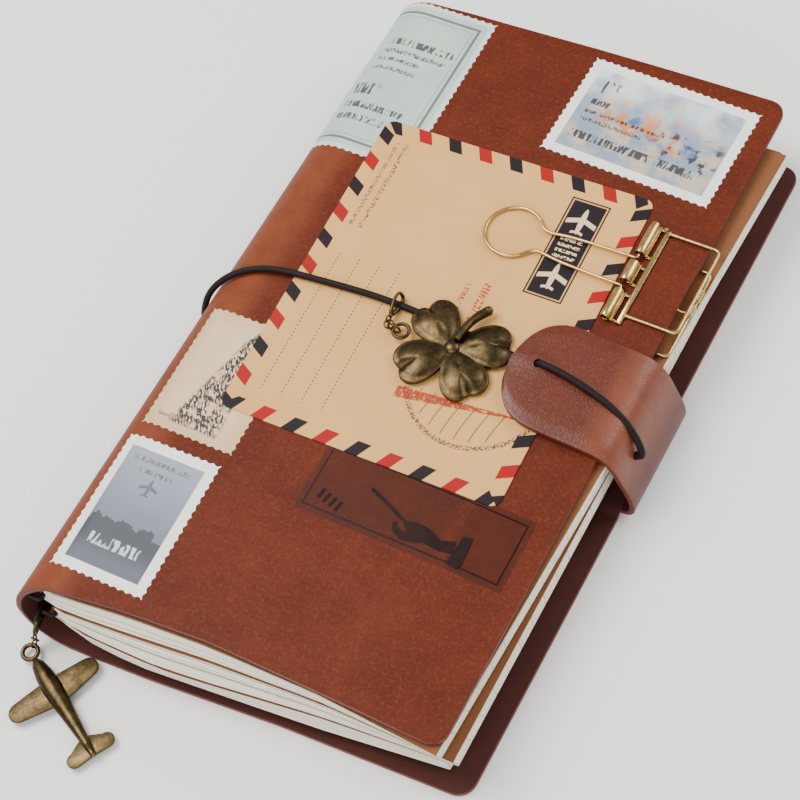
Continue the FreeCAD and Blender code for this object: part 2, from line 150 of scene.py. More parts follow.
class Paint:
    """One procedural material."""

    def __init__(self, name, solid=False, **constants):
        self.material = bpy.data.materials.new(name)
        self.material.use_nodes = True
        self.tree = self.material.node_tree
        self.shader = self.tree.nodes["Principled BSDF"]
        for key, value in constants.items():
            self.shader.inputs[key.replace("_", " ")].default_value = value
        coordinates = self.node("ShaderNodeTexCoord")
        self.place = coordinates.outputs["Object" if solid else "UV"]
        if solid:
            scale = self.node("ShaderNodeVectorMath", operation="SCALE")
            self.link(self.place, scale.inputs[0])
            scale.inputs["Scale"].default_value = 1 / MM
            self.place = scale.outputs[0]
        split = self.node("ShaderNodeSeparateXYZ")
        self.link(self.place, split.inputs[0])
        self.a, self.b = Field(self, split.outputs[0]), Field(self, split.outputs[1])

    def node(self, kind, **settings):
        node = self.tree.nodes.new(kind)
        for key, value in settings.items():
            setattr(node, key, value)
        return node

    def link(self, source, target):
        self.tree.links.new(source, target)

    def feed(self, value, socket):
        if isinstance(value, Field):
            value = value.socket
        if isinstance(value, bpy.types.NodeSocket):
            self.link(value, socket)
        else:
            socket.default_value = value

    def math(self, kind, *values):
        node = self.node("ShaderNodeMath", operation=kind)
        for value, socket in zip(values, node.inputs):
            self.feed(value, socket)
        return Field(self, node.outputs[0])

    def vector(self, x, y):
        node = self.node("ShaderNodeCombineXYZ")
        for value, socket in zip((x, y), node.inputs):
            self.feed(value, socket)
        return node.outputs[0]

    def noise(self, size, detail=3.0, where=None):
        """Noise from 0 to 1 whose features are about size millimetres across."""
        node = self.node("ShaderNodeTexNoise")
        self.link(where or self.place, node.inputs["Vector"])
        node.inputs["Scale"].default_value = 1.0 / size
        node.inputs["Detail"].default_value = detail
        node.inputs["Roughness"].default_value = NOISE_ROUGHNESS
        return Field(self, node.outputs["Fac"])

    def cells(self, size):
        """Distance from the middle of cells about size millimetres across."""
        node = self.node("ShaderNodeTexVoronoi", feature="F1")
        self.link(self.place, node.inputs["Vector"])
        node.inputs["Scale"].default_value = 1.0 / size
        return Field(self, node.outputs["Distance"])

    def mix(self, low, high, amount):
        """Colour between low and high by amount; the node's colour sockets share names, so go by number."""
        node = self.node("ShaderNodeMix", data_type="RGBA")
        self.feed(amount, node.inputs["Factor"])
        self.feed(low, node.inputs[MIX_LOW])
        self.feed(high, node.inputs[MIX_HIGH])
        return node.outputs[MIX_RESULT]

    def box(self, a0, a1, b0, b1, soft=0.08):
        """1 inside a rectangle of the surface, 0 outside it."""
        da = (self.a - (a0 + a1) / 2).abs() - (a1 - a0) / 2
        db = (self.b - (b0 + b1) / 2).abs() - (b1 - b0) / 2
        return da.most(db).step(soft, -soft)

    def edge_distance(self, width, length):
        """Distance inward from the nearest side of a width by length sheet."""
        da = (self.a - width / 2).abs() * -1 + width / 2
        db = (self.b - length / 2).abs() * -1 + length / 2
        return da.least(db)

    def finish(self, colour=None, rough=None, height=None, bump=0.3, depth=0.1, alpha=None):
        if colour is not None:
            self.feed(colour, self.shader.inputs["Base Color"])
        if rough is not None:
            self.feed(rough, self.shader.inputs["Roughness"])
        if alpha is not None:
            self.feed(alpha, self.shader.inputs["Alpha"])
        if height is not None:
            node = self.node("ShaderNodeBump")
            node.inputs["Strength"].default_value = bump
            node.inputs["Distance"].default_value = depth * MM
            self.feed(height, node.inputs["Height"])
            self.link(node.outputs[0], self.shader.inputs["Normal"])
        return self.material


# ---- materials ------------------------------------------------------------
def leather(name, light, dark, worn_and_highlight, rough, grain, gloss, rub_and_highlight_band):
    """Grained leather; the last argument is (low, high, reach) of the UV a values between which it is
    lighter: partly real wear, partly painted highlight on the bend.
    """
    p = Paint(name, Specular_IOR_Level=gloss)
    mottle = p.noise(20, 5)
    cloud = p.noise(7, 4)
    fine = p.noise(0.9, 3)
    pores = p.cells(grain).step(0.05, 0.55)
    speckle = fine * 0.6 + p.noise(1.8, 4) * 0.4
    colour = p.mix(dark, light, (mottle * 0.45 + cloud * 0.35 + speckle * 0.5 - 0.15).step(0.1, 0.9))
    colour = p.mix(colour, worn_and_highlight, speckle.step(0.5, 0.7) * 0.2)
    # painted highlight with wear: the worn colour laid along the bend stands both for real rubbing and for
    # the light that the rounded bend catches
    low, high, reach = rub_and_highlight_band
    rub_and_highlight = p.a.step(low - reach, low) * p.a.step(high + reach, high)
    colour = p.mix(colour, worn_and_highlight, rub_and_highlight * (cloud * 0.5 + 0.25))
    colour = p.mix(colour, dark, pores.step(0.35, 0.0) * 0.35)
    shine = p.noise(4, 3) * 0.16 + (rough - 0.08)
    return p.finish(colour, shine, pores * 0.7 + fine * 0.6 + cloud * 1.2, bump=0.5, depth=0.12)


def suede(name, tone, deep):
    p = Paint(name, Roughness=0.9)
    nap = p.noise(0.5, 3)
    colour = p.mix(deep, tone, nap * 0.6 + p.noise(9, 3) * 0.5)
    return p.finish(colour, None, nap, bump=0.35, depth=0.12)


def cut_edge():
    p = Paint("leather_edge", Roughness=0.62)
    fibre = p.noise(0.35, 4)
    return p.finish(p.mix(rgb(58, 19, 12), rgb(116, 44, 27), fibre), None, fibre, bump=0.5, depth=0.15)


def braid():
    """Waxed elastic braid; UV a goes round it and b along it."""
    p = Paint("elastic_braid", Roughness=0.6, Specular_IOR_Level=0.2)
    right = ((p.a + p.b * 0.8) * 5.2).sin()
    left = ((p.a - p.b * 0.8) * 5.2).sin()
    weave = right * left * 0.5 + 0.5
    colour = p.mix(rgb(10, 5, 5), rgb(34, 18, 15), weave * 0.6 + p.noise(1.5) * 0.4)
    return p.finish(colour, None, weave, bump=0.35, depth=0.08)


def solid_braid():
    p = Paint("cord_dark", solid=True, Roughness=0.6, Specular_IOR_Level=0.2)
    weave = p.noise(0.5, 3)
    return p.finish(p.mix(rgb(10, 5, 5), rgb(34, 18, 15), weave), None, weave, bump=0.4, depth=0.08)


def kraft(name, light, dark):
    p = Paint(name, Roughness=0.85)
    fibre = p.noise(0.8, 5, where=p.vector(p.a * 0.35, p.b))
    colour = p.mix(dark, light, fibre * 0.7 + p.noise(14, 3) * 0.4)
    return p.finish(colour, None, fibre, bump=0.2, depth=0.06)


RULING = 7.1


def ruled_paper():
    """Cream paper with faint rules every RULING millimetres along b."""
    p = Paint("ruled_paper", Roughness=0.8)
    fibre = p.noise(1.2, 4)
    base = p.mix(rgb(226, 219, 198), rgb(246, 241, 226), fibre * 0.5 + p.noise(18, 3) * 0.5)
    rule = (p.b.mod(RULING) - 0.14).abs().step(0.14, 0.05)
    return p.finish(p.mix(base, rgb(122, 120, 108), rule * 0.7), None, fibre, bump=0.12, depth=0.05)


def union(marks):
    """The greatest of several marks at each point, so that all of them show."""
    return functools.reduce(Field.most, marks)


def words(p, rows):
    """Rows (middle b, height, first a, last a) of short ink strokes that only suggest small print."""
    def row(k, b, tall, a0, a1):
        strokes = p.noise(tall * 0.32, 1.0, where=p.vector(p.a, p.b * 0.22 + 7.0 * k))
        return strokes.step(0.47, 0.53) * p.box(a0, a1, b - tall / 2, b + tall / 2)
    return union(row(k, *place_of) for k, place_of in enumerate(rows))


def paper_grain(p):
    return p.noise(0.7, 4)


CARD = (87.0, 107.0)
STRIPE_PITCH = 10.0
STRIPE_DEPTH = 4.3


def airmail_card():
    """Tan card with an airmail border, dotted lines, a dark block and a postmark."""
    width, length = CARD
    p = Paint("airmail_card", Roughness=0.62, Specular_IOR_Level=0.25)
    base = p.mix(rgb(204, 148, 84), rgb(224, 176, 108), p.noise(22, 3) * 0.6 + p.noise(0.6, 4) * 0.4)
    da = (p.a - width / 2).abs() * -1 + width / 2
    db = (p.b - length / 2).abs() * -1 + length / 2
    sides, ends = da < db, db < da
    bars, reds = [], []
    for run, depth, side, slant in ((p.b, da, sides, 0.55), (p.a, db, ends, -0.55)):
        place = (run + depth * slant) / STRIPE_PITCH
        near_edge = depth.step(STRIPE_DEPTH + 0.1, STRIPE_DEPTH)
        bar = (place.mod(1.0) - 0.24).abs().step(0.215, 0.2) * near_edge * side
        bars.append(bar)
        reds.append(place.floor().mod(2.0) * bar)
    dots = union(p.box(a - 0.18, a + 0.18, 9.0, 58.0, 0.05) * (p.b.mod(1.25) < 0.55)
                 for a in (8.8, 15.2, 21.7, 28.3))
    side_text = (p.noise(0.42, 1.0, where=p.vector(p.a * 0.3, p.b)).step(0.5, 0.56)
                 * p.box(6.2, 7.4, 68.0, 100.0).most(p.box(9.2, 10.6, 68.0, 100.0)))
    dots = dots.most(side_text)
    block = p.box(64.9, 75.1, 66.0, 99.6, 0.1)
    halo = p.box(64.0, 76.0, 65.1, 100.5, 0.1) - p.box(64.5, 75.5, 65.6, 100.0, 0.1)
    motif = plane_mark(p, 70.0, 93.0, 0.48).most(plane_mark(p, 70.0, 73.0, 0.48))
    lines = union(p.box(66.6, 73.4, 79.4 + 2.0 * k, 80.4 + 2.0 * k) for k in range(4))
    dx, dy = p.a - 66.0, p.b - 33.0
    radius = (dx * dx + dy * dy).power(0.5)
    ring_text = (radius - 20.4).abs().step(0.75, 0.65) * p.noise(0.6, 1.0).step(0.47, 0.53)
    ring_text = ring_text * (p.b < 25.0)
    wave = (p.a + (p.b / 9.0).sin() * 2.4).mod(4.2)
    waves = (wave - 2.0).abs().step(0.2, 0.1) * p.box(44.5, 78.0, 7.5, 26.0) * (radius < 18.5)
    wedge_half = (p.a - 45.0) * -0.045 + 1.9
    wedge = ((p.b - 22.5 - (p.a - 45.0) * 0.12).abs() - wedge_half).step(0.1, -0.1)
    wedge = wedge * p.box(45.0, 80.0, 10, 40) * p.noise(0.9, 2.0).step(0.36, 0.44)
    red_words = (p.noise(0.6, 1.0, where=p.vector(p.a * 0.35, p.b)).step(0.48, 0.53)
                 * p.box(53.0, 55.4, 34.0, 64.0).most(p.box(48.0, 49.6, 44.0, 62.0)))
    red_bits = wedge.most(red_words)
    navy, red = rgb(24, 13, 20), rgb(156, 14, 10)
    colour = p.mix(base, rgb(58, 40, 32), dots.most(ring_text).most(waves) * 0.85)
    colour = p.mix(colour, red, red_bits * 0.85)
    colour = p.mix(colour, navy, block.most(halo))
    colour = p.mix(colour, rgb(226, 196, 156), motif.most(lines * p.noise(0.8, 1).step(0.42, 0.5)) * block)
    colour = p.mix(colour, navy, union(bars))
    colour = p.mix(colour, red, union(reds))
    return p.finish(colour, None, paper_grain(p), bump=0.12, depth=0.04)


def plane_mark(p, a, b, size):
    """A small plain aeroplane sign, nose toward +b."""
    x, y = (p.a - a) / size, (p.b - b) / size
    body = (x * x / 3.2 + y * y / 90.0).step(1.1, 0.9)
    wing = ((y - 1.5 + x.abs() * 0.35).abs() - 1.7).step(0.3, -0.3) * (x.abs() < 9.5)
    tail = ((y + 7.6 + x.abs() * 0.3).abs() - 0.9).step(0.3, -0.3) * (x.abs() < 4.0)
    return body.most(wing).most(tail)


def label_art(width, length):
    p = Paint("label_paper", Roughness=0.5)
    base = p.mix(rgb(160, 182, 172), rgb(190, 208, 200), p.noise(16, 3))
    inside = p.edge_distance(width, length)
    frame_line = (inside - 4.2).abs().step(0.5, 0.4)
    thin = (inside - 5.8).abs().step(0.18, 0.1)
    dark = frame_line * 0.75 + thin * 0.5
    ink = words(p, [(44.0, 2.6, 12, 34), (40.0, 1.5, 11, 33), (36.6, 1.4, 11, 26), (33.0, 1.4, 11, 26),
                    (24.0, 4.4, 9, 19), (17.5, 2.4, 9, 30), (12.6, 2.4, 9, 26)])
    picture = (p.noise(8, 3) * p.box(10, 34, 40, 54, 4.0)).step(0.3, 0.7)
    colour = p.mix(base, rgb(196, 204, 178), picture * 0.7)
    colour = p.mix(colour, rgb(30, 42, 44), dark.most(ink * 0.9))
    colour = p.mix(rgb(206, 214, 208), colour, inside.step(1.6, 2.2))
    return p.finish(colour, None, paper_grain(p), bump=0.1, depth=0.04)


def map_art(width, length):
    p = Paint("map_stamp", Roughness=0.5)
    inside = p.edge_distance(width, length).step(3.2, 3.4)
    land = p.noise(9, 4).step(0.42, 0.6)
    sky = p.b.step(length * 0.5, length * 0.85)
    scene = p.mix(rgb(134, 150, 166), rgb(190, 176, 156), land)
    scene = p.mix(scene, rgb(66, 104, 146), p.noise(6, 3).step(0.5, 0.62) * p.box(16, 50, 14, 33, 3.0))
    warm = p.noise(5, 3, where=p.vector(p.a + 31, p.b)).step(0.5, 0.58) * p.box(12, 38, 12, 27, 3.0)
    scene = p.mix(scene, rgb(206, 128, 74), warm)
    scene = p.mix(scene, rgb(60, 56, 66), p.noise(3, 3).step(0.56, 0.64) * p.box(30, 51, 8, 22, 3.0))
    scene = p.mix(scene, rgb(218, 226, 232), sky * p.noise(12, 3).step(0.3, 0.6))
    ink = words(p, [(27.5, 5.0, 6.5, 12.5), (21.5, 2.2, 6, 12), (17.6, 1.2, 6, 32), (14.6, 1.2, 6, 26),
                    (8.8, 2.8, 5.5, 47)])
    scene = p.mix(scene, rgb(26, 28, 36), ink * 0.9)
    border = p.mix(rgb(232, 232, 230), rgb(244, 244, 242), p.noise(6))
    return p.finish(p.mix(border, scene, inside), None, paper_grain(p), bump=0.1, depth=0.04)


def sky_art(width, length):
    p = Paint("sky_stamp", Roughness=0.5)
    inside = p.edge_distance(width, length).step(3.3, 3.5)
    scene = p.mix(rgb(92, 100, 114), rgb(142, 150, 164), p.b.step(14.0, 40.0) * 0.8 + p.noise(9, 3) * 0.2)
    blocks = p.noise(2.4, 0.0, where=p.vector(p.a.floor(), 3.0)) * 4.0
    ground = (p.b - 16.0 - blocks * p.box(4, 24, 0, 60)).step(0.1, -0.1)
    scene = p.mix(scene, rgb(46, 52, 62), ground)
    scene = p.mix(scene, rgb(84, 92, 104), p.b.step(13.0, 5.0) * 0.7)
    dark = words(p, [(37.6, 1.5, 5.5, 24), (34.4, 1.4, 9.5, 20)]).most(plane_mark(p, 15.0, 30.0, 0.3))
    scene = p.mix(scene, rgb(40, 46, 56), dark * 0.7)
    pale = words(p, [(11.0, 3.4, 7, 23)])
    scene = p.mix(scene, rgb(216, 220, 226), pale * 0.85)
    border = p.mix(rgb(232, 232, 228), rgb(246, 246, 243), p.noise(6))
    return p.finish(p.mix(border, scene, inside), None, paper_grain(p), bump=0.1, depth=0.04)


def sketch_art(width, length):
    """Beige stamp with a loose ink sketch of a tower under a small red cap."""
    p = Paint("sketch_stamp", Roughness=0.55)
    faded = p.noise(12, 3) * 0.7 + p.edge_distance(width, length).step(0, 8) * 0.4
    base = p.mix(rgb(196, 158, 114), rgb(224, 196, 158), faded)
    lean = p.a - 16.0 - (p.b - 6.0) * 0.1
    spread_half = p.b * -0.16 + 8.4
    shape = (lean.abs() - spread_half).step(0.8, -0.8) * p.box(2, 30, 3, 37, 0.6)
    scribble = p.noise(1.3, 3, where=p.vector(p.a * 2.0 + p.b * 0.9, p.b * 0.8)).step(0.44, 0.5)
    light = p.noise(3.2, 2).step(0.34, 0.5)
    ink = shape * scribble * light
    colour = p.mix(base, rgb(16, 16, 20), ink)
    cap = ((p.a - 19.6) * (p.a - 19.6) / 3.0 + (p.b - 37.6) * (p.b - 37.6)).step(1.4, 1.0)
    colour = p.mix(colour, rgb(132, 44, 42), cap * 0.85)
    colour = p.mix(colour, rgb(90, 70, 60), words(p, [(4.6, 1.6, 3.5, 15)]) * 0.7)
    return p.finish(colour, None, paper_grain(p), bump=0.1, depth=0.04)


def film_art(width, length):
    p = Paint("clear_film", Roughness=0.35, Specular_IOR_Level=0.15)
    inside = p.edge_distance(width, length)
    line = (inside - 1.9).abs().step(0.3, 0.2)
    colour = p.mix(rgb(70, 40, 32), rgb(36, 10, 8), line)
    haze = p.noise(9) * 0.16 + 0.1
    return p.finish(colour, None, p.noise(6, 3), bump=0.1, depth=0.1, alpha=line * 0.55 + haze)


def ink_print():
    p = Paint("print_ink", solid=True, Roughness=0.7, Specular_IOR_Level=0.15)
    return p.finish(p.mix(rgb(14, 8, 8), rgb(40, 22, 18), p.noise(1.2, 3)))


def metal(name, light, dark, rough, wear=0.0):
    """Plated metal with a faint patina; wear brightens its raised edges."""
    p = Paint(name, solid=True, Metallic=1.0)
    patina = p.noise(3.0, 5) * 0.6 + p.noise(0.7, 3) * 0.4
    colour = p.mix(dark, light, patina.step(0.25, 0.8))
    if wear:
        geometry = p.node("ShaderNodeNewGeometry")
        edge = Field(p, geometry.outputs["Pointiness"]).step(0.52, 0.62)
        colour = p.mix(colour, light, edge * wear)
    shine = p.noise(0.9, 3) * 0.2 + (rough - 0.1)
    return p.finish(colour, shine, p.noise(0.5, 4), bump=0.12, depth=0.05)


MATERIAL = {
    # the last numbers of the two leathers place a painted highlight with wear: on the upper spine of the
    # cover, and on the strap's bend over the fore-edge
    "hide": leather("leather_outer", rgb(104, 40, 17), rgb(68, 24, 10), rgb(138, 72, 42), 0.6, 0.9, 0.15,
                    rub_and_highlight_band=(145.0, 164.0, 10.0)),
    "strap": leather("leather_strap", rgb(104, 42, 21), rgb(68, 25, 12), rgb(138, 74, 48), 0.38, 0.7, 0.4,
                     rub_and_highlight_band=(34.0, 46.0, 9.0)),
    "inside": suede("leather_inside", rgb(80, 28, 17), rgb(40, 13, 8)),
    "edge": cut_edge(),
    "elastic": braid(),
    "cord": solid_braid(),
    "kraft": kraft("kraft_cover", rgb(132, 80, 40), rgb(96, 55, 24)),
    "paper": ruled_paper(),
    "card": airmail_card(),
    "ink": ink_print(),
    "gold": metal("pale_gold", rgb(226, 198, 136), rgb(180, 148, 84), 0.22),
    "bronze": metal("antique_bronze", rgb(102, 85, 57), rgb(46, 37, 24), 0.36, wear=0.8),
    "steel": metal("bright_steel", rgb(205, 205, 208), rgb(150, 150, 154), 0.3),
}


# ---- mesh building --------------------------------------------------------
SPHERE_SIDES, SPHERE_RINGS = 10, 6
WELD, SLIVER = 0.004, 0.002  # nearer points are joined, shorter edges are dropped
BEVEL_ANGLE = 50             # only edges sharper than this are rounded


class Shape:
    """Mesh faces in design millimetres, with UVs in millimetres."""

    def __init__(self):
        self.points, self.faces, self.uvs, self.kinds = [], [], [], []

    def face(self, points, uvs):
        start = len(self.points)
        self.points += [Vector(p) for p in points]
        self.faces.append(list(range(start, start + len(points))))
        self.uvs.append(list(uvs))
        self.kinds.append(0)

    def grid(self, rows, uv, wrap=False, kind=0):
        """Quads between rows of points; wrap joins each row's end to its start."""
        start, columns = len(self.points), len(rows[0])
        for row in rows:
            self.points += [Vector(p) for p in row]
        for i in range(len(rows) - 1):
            for j in range(columns if wrap else columns - 1):
                k = (j + 1) % columns
                corners = [i * columns + j, i * columns + k, (i + 1) * columns + k, (i + 1) * columns + j]
                self.faces.append([start + c for c in corners])
                self.uvs.append([uv(i, j), uv(i, j + 1), uv(i + 1, j + 1), uv(i + 1, j)])
                self.kinds.append(kind)

    def slab(self, top, bottom, uv, kinds=(0, 1, 2)):
        """A closed sheet between two grids of the same size."""
        last_i, last_j = len(top) - 1, len(top[0]) - 1
        self.grid(top, uv, kind=kinds[0])
        self.grid(bottom, uv, kind=kinds[1])
        for i in (0, last_i):
            self.grid([top[i], bottom[i]], lambda a, j, i=i: uv(i, j), kind=kinds[2])
        for j in (0, last_j):
            sides = [[row[j] for row in top], [row[j] for row in bottom]]
            self.grid(sides, lambda a, i, j=j: uv(i, j), kind=kinds[2])

    def sweep(self, path, radius, sides=12, closed=False, flat=1.0):
        """A round wire along points; radius is a number or one number for each point."""
        count = len(path)
        path = [Vector(p) for p in path]
        radii = radius if isinstance(radius, (list, tuple)) else [radius] * count
        rows, lengths, run = [], [], 0.0
        side = None
        for k in range(count):
            before = path[k - 1] if k or closed else path[0]
            after = path[(k + 1) % count] if k < count - 1 or closed else path[-1]
            along = (after - before).normalized()
            if side is None:
                side = along.orthogonal().normalized()
                if abs(along.z) < 0.9:
                    side = along.cross(Vector((0, 0, 1))).normalized()
            side = (side - along * side.dot(along)).normalized()
            up = along.cross(side)
            rows.append([path[k] + (side * math.cos(t) + up * math.sin(t) * flat) * radii[k]
                         for t in around(sides)])
            lengths.append(run)
            run += (path[(k + 1) % count] - path[k]).length
        girth = 2 * math.pi * max(radii)
        if closed:
            rows.append(rows[0])
            lengths.append(run)
        self.grid(rows, lambda i, j: (girth * j / sides, lengths[i]), wrap=True)
        if not closed:
            for row, flip in ((rows[0], 1), (rows[-1], -1)):
                self.face(row[::flip], [(p.x, p.y) for p in row])

    def ring(self, centre, normal, radius, wire, sides=10, turns=36):
        """A closed ring; radius is to the middle of its wire, and wire is the diameter."""
        normal = Vector(normal).normalized()
        u = normal.orthogonal().normalized()
        v = normal.cross(u)
        points = [Vector(centre) + (u * math.cos(t) + v * math.sin(t)) * radius
                  for t in around(turns)]
        self.sweep(points, wire / 2, sides, closed=True)

    def prism(self, outline, z0, z1):
        """A plate with a given outline of (x, y) points."""
        low = [(x, y, z0) for x, y in outline]
        high = [(x, y, z1) for x, y in outline]
        self.face(low[::-1], outline[::-1])
        self.face(high, outline)
        loop = list(range(len(outline))) + [0]
        self.grid([[low[k] for k in loop], [high[k] for k in loop]],
                  lambda i, j: (3.0 * j, 3.0 * i))

    def sphere(self, centre, radius, squash=1.0):
        rows = []
        for i in range(SPHERE_RINGS + 1):
            t = math.pi * i / SPHERE_RINGS
            rows.append([Vector(centre) + Vector((math.sin(t) * math.cos(a), math.sin(t) * math.sin(a),
                                                  math.cos(t) * squash)) * radius
                         for a in around(SPHERE_SIDES)])
        self.grid(rows, lambda i, j: (i, j), wrap=True)

    def move(self, turn_deg=0.0, offset=(0, 0, 0)):
        turn = Matrix.Rotation(math.radians(turn_deg), 3, "Z")
        self.points = [turn @ p + Vector(offset) for p in self.points]
        return self

    def build(self, name, materials, bevel=0.0, angle=35.0):
        """The piece as an object in metres, in the shared frame."""
        mesh = bpy.data.meshes.new(name)
        mesh.from_pydata([at(*p) for p in self.points], [], self.faces)
        for key in materials:
            mesh.materials.append(MATERIAL[key])
        layer = mesh.uv_layers.new(name="UVMap")
        flat = [c for face in self.uvs for corner in face for c in corner]
        layer.data.foreach_set("uv", flat)
        mesh.polygons.foreach_set("material_index", self.kinds)
        bm = bmesh.new()
        bm.from_mesh(mesh)
        bmesh.ops.remove_doubles(bm, verts=bm.verts, dist=WELD * MM)
        bmesh.ops.dissolve_degenerate(bm, edges=bm.edges, dist=SLIVER * MM)
        bmesh.ops.recalc_face_normals(bm, faces=bm.faces)
        bm.to_mesh(mesh)
        bm.free()
        obj = bpy.data.objects.new(name, mesh)
        bpy.context.scene.collection.objects.link(obj)
        if bevel:
            rounding = obj.modifiers.new("edge", "BEVEL")
            rounding.width = bevel * MM
            rounding.segments = 2
            rounding.limit_method = "ANGLE"
            rounding.angle_limit = math.radians(BEVEL_ANGLE)
            settle(obj)
        soften(obj, angle)
        return obj


def settle(obj):
    """Applies an object's modifiers to its mesh."""
    bpy.context.view_layer.update()
    graph = bpy.context.evaluated_depsgraph_get()
    mesh = bpy.data.meshes.new_from_object(obj.evaluated_get(graph))
    obj.modifiers.clear()
    obj.data = mesh


def soften(obj, angle):
    obj.data.polygons.foreach_set("use_smooth", [True] * len(obj.data.polygons))
    obj.data.set_sharp_from_angle(angle=math.radians(angle))


def drill(obj, points, radius):
    """Cuts a round hole along the line between two design points."""
    cutter = Shape()
    cutter.sweep(points, radius, sides=20)
    tool = cutter.build("cutter", [])
    cut = obj.modifiers.new("hole", "BOOLEAN")
    cut.operation, cut.object, cut.solver = "DIFFERENCE", tool, "EXACT"
    settle(obj)
    bpy.data.objects.remove(tool)


def place(obj, body, slot, *nodes):
    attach(obj, body)
    if nodes:
        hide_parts(*nodes)
    return obj


def spline(route, closed=False, fine=8):
    """Points along the route's own smooth NURBS line."""
    curve = bpy.data.curves.new("route", "CURVE")
    curve.dimensions = "3D"
    line = curve.splines.new("NURBS")
    line.points.add(len(route) - 1)
    for point, place_of in zip(line.points, route):
        point.co = (*place_of, 1.0)
    line.order_u = 3
    line.use_endpoint_u = not closed
    line.use_cyclic_u = closed
    line.resolution_u = fine
    holder = bpy.data.objects.new("route", curve)
    bpy.context.scene.collection.objects.link(holder)
    bpy.context.view_layer.update()
    mesh = bpy.data.meshes.new_from_object(holder)
    points = [v.co.copy() for v in mesh.vertices]
    bpy.data.objects.remove(holder)
    bpy.data.meshes.remove(mesh)
    bpy.data.curves.remove(curve)
    return points


def cornered(points, reach):
    """A route with a control point before and after each corner."""
    route = [Vector(points[0])]
    for a, b, c in zip(points, points[1:], points[2:]):
        a, b, c = Vector(a), Vector(b), Vector(c)
        route += [b + (a - b).normalized() * reach, b, b + (c - b).normalized() * reach]
    return route + [Vector(points[-1])]


# ---- leather cover --------------------------------------------------------
BACK_RUN = BACK_REACH - SPINE_R
FRONT_START = BACK_RUN + math.pi * SPINE_R
COVER_RUN = FRONT_START + COVER_REACH - SPINE_R
ELASTIC_Y = 107.5           # where the elastic runs under the back cover
TAB_Y = (91.0, 125.0)
POCKET_X = 112.0            # inner end of the tab's foot
RIDGE_HEIGHT, RIDGE_HALF = 4.1, 2.4   # the back cover rises where the elastic passes under it
RIDGE_START, RIDGE_FULL = 135.0, 132.5
FOOT_PRESS = 1.85           # and rises over the tab's foot
WAVE, DROOP = 0.16, 1.3     # ripple of the front cover, and the drop of its fore-edge under the strap
EVEN_Y = (30, 190)          # rows between these follow y, and beyond them they follow the cut edges
# lower and upper edge of the leather along its run, which is cut a little askew
LOW_EDGE = [(0, -1.7), (56, -5.2), (96, -9.2), (108, -10.0), (122, -10.8), (132, -10.8),
            (144, -10.0), (156, -7.6), (163, -5.6), (175, -3.6), (187, -1.9), (205, -0.3), (213, 0.3),
            (COVER_RUN, 0.5)]
HIGH_EDGE = [(0, 217.2), (60, 215.6), (122, 214.4), (144, 214.8), (160, 216.0), (180, 217.2), (220, 218.6),
             (COVER_RUN, COVER_LENGTH)]


def cover_wave(run, y):
    """Slight unevenness of the flat front cover."""
    share = smooth(FRONT_START, FRONT_START + 25, run)
    ripple = WAVE * share * math.sin(run / 17.0) * math.sin(y / 29.0 + 0.6)
    droop = DROOP * smooth(COVER_RUN - 26, COVER_RUN, run) * smooth(131, 120, y)
    return ripple - droop


def cover_point(run, y, depth):
    """A point of the cover: run from the back fore-edge round the spine, depth in from the outside."""
    if run < BACK_RUN:
        x = BACK_REACH - run
        ridge = math.exp(-((y - ELASTIC_Y) / RIDGE_HALF) ** 4) * smooth(RIDGE_START, RIDGE_FULL, x)
        foot = (smooth(TAB_Y[0] - 3, TAB_Y[0] - 0.3, y) * smooth(TAB_Y[1] + 3, TAB_Y[1] + 0.3, y)
                * smooth(POCKET_X - 4, POCKET_X - 0.5, x))
        press = max(ridge * RIDGE_HEIGHT, foot * FOOT_PRESS)
        return Vector((x, y, press + depth * (1 - 0.16 * press)))
    if run < FRONT_START:
        angle = (run - BACK_RUN) / SPINE_R
        reach = SPINE_R - depth
        return Vector((SPINE_R - reach * math.sin(angle), y, SPINE_R - reach * math.cos(angle)))
    return Vector((run - FRONT_START + SPINE_R, y, HEIGHT - depth + cover_wave(run, y)))


def edge_shift(y, low, high):
    """Moves y near either end of the cover so that the ends fall on low and high."""
    start, stop = EVEN_Y
    if y <= start:
        return low + (start - low) * y / start
    if y >= stop:
        return stop + (high - stop) * (y - stop) / (COVER_LENGTH - stop)
    return y


def cover_rows():
    """Rows of (run, y) places over the leather, closer together where it turns."""
    ends = [0.0, 0.25, 0.7, 1.4, 2.4, 3.6, CORNER]
    runs = (ends + spread(CORNER, BACK_RUN, 4.0)[1:] + spread(BACK_RUN, FRONT_START, 1.7)[1:]
            + spread(FRONT_START, COVER_RUN - CORNER, 5.0)[1:] + [COVER_RUN - e for e in ends[-2::-1]])
    shares = (spread(0, TAB_Y[0] - 4, 5.5)[:-1] + spread(TAB_Y[0] - 4, TAB_Y[0] + 1, 0.8)[:-1]
              + spread(TAB_Y[0] + 1, ELASTIC_Y - 5, 3.0)[:-1]
              + spread(ELASTIC_Y - 5, ELASTIC_Y + 5, 0.7)[:-1]
              + spread(ELASTIC_Y + 5, TAB_Y[1] - 1, 3.0)[:-1] + spread(TAB_Y[1] - 1, TAB_Y[1] + 4, 0.8)[:-1]
              + spread(TAB_Y[1] + 4, COVER_LENGTH, 5.5))
    rows = []
    for run in runs:
        low, high = knots(LOW_EDGE, run), knots(HIGH_EDGE, run)
        near_end = min(run, COVER_RUN - run)
        if near_end < CORNER:
            inset = CORNER - math.sqrt(CORNER ** 2 - (CORNER - near_end) ** 2)
            low, high = low + inset, high - inset
        rows.append([(run, edge_shift(y, low, high)) for y in shares])
    return rows


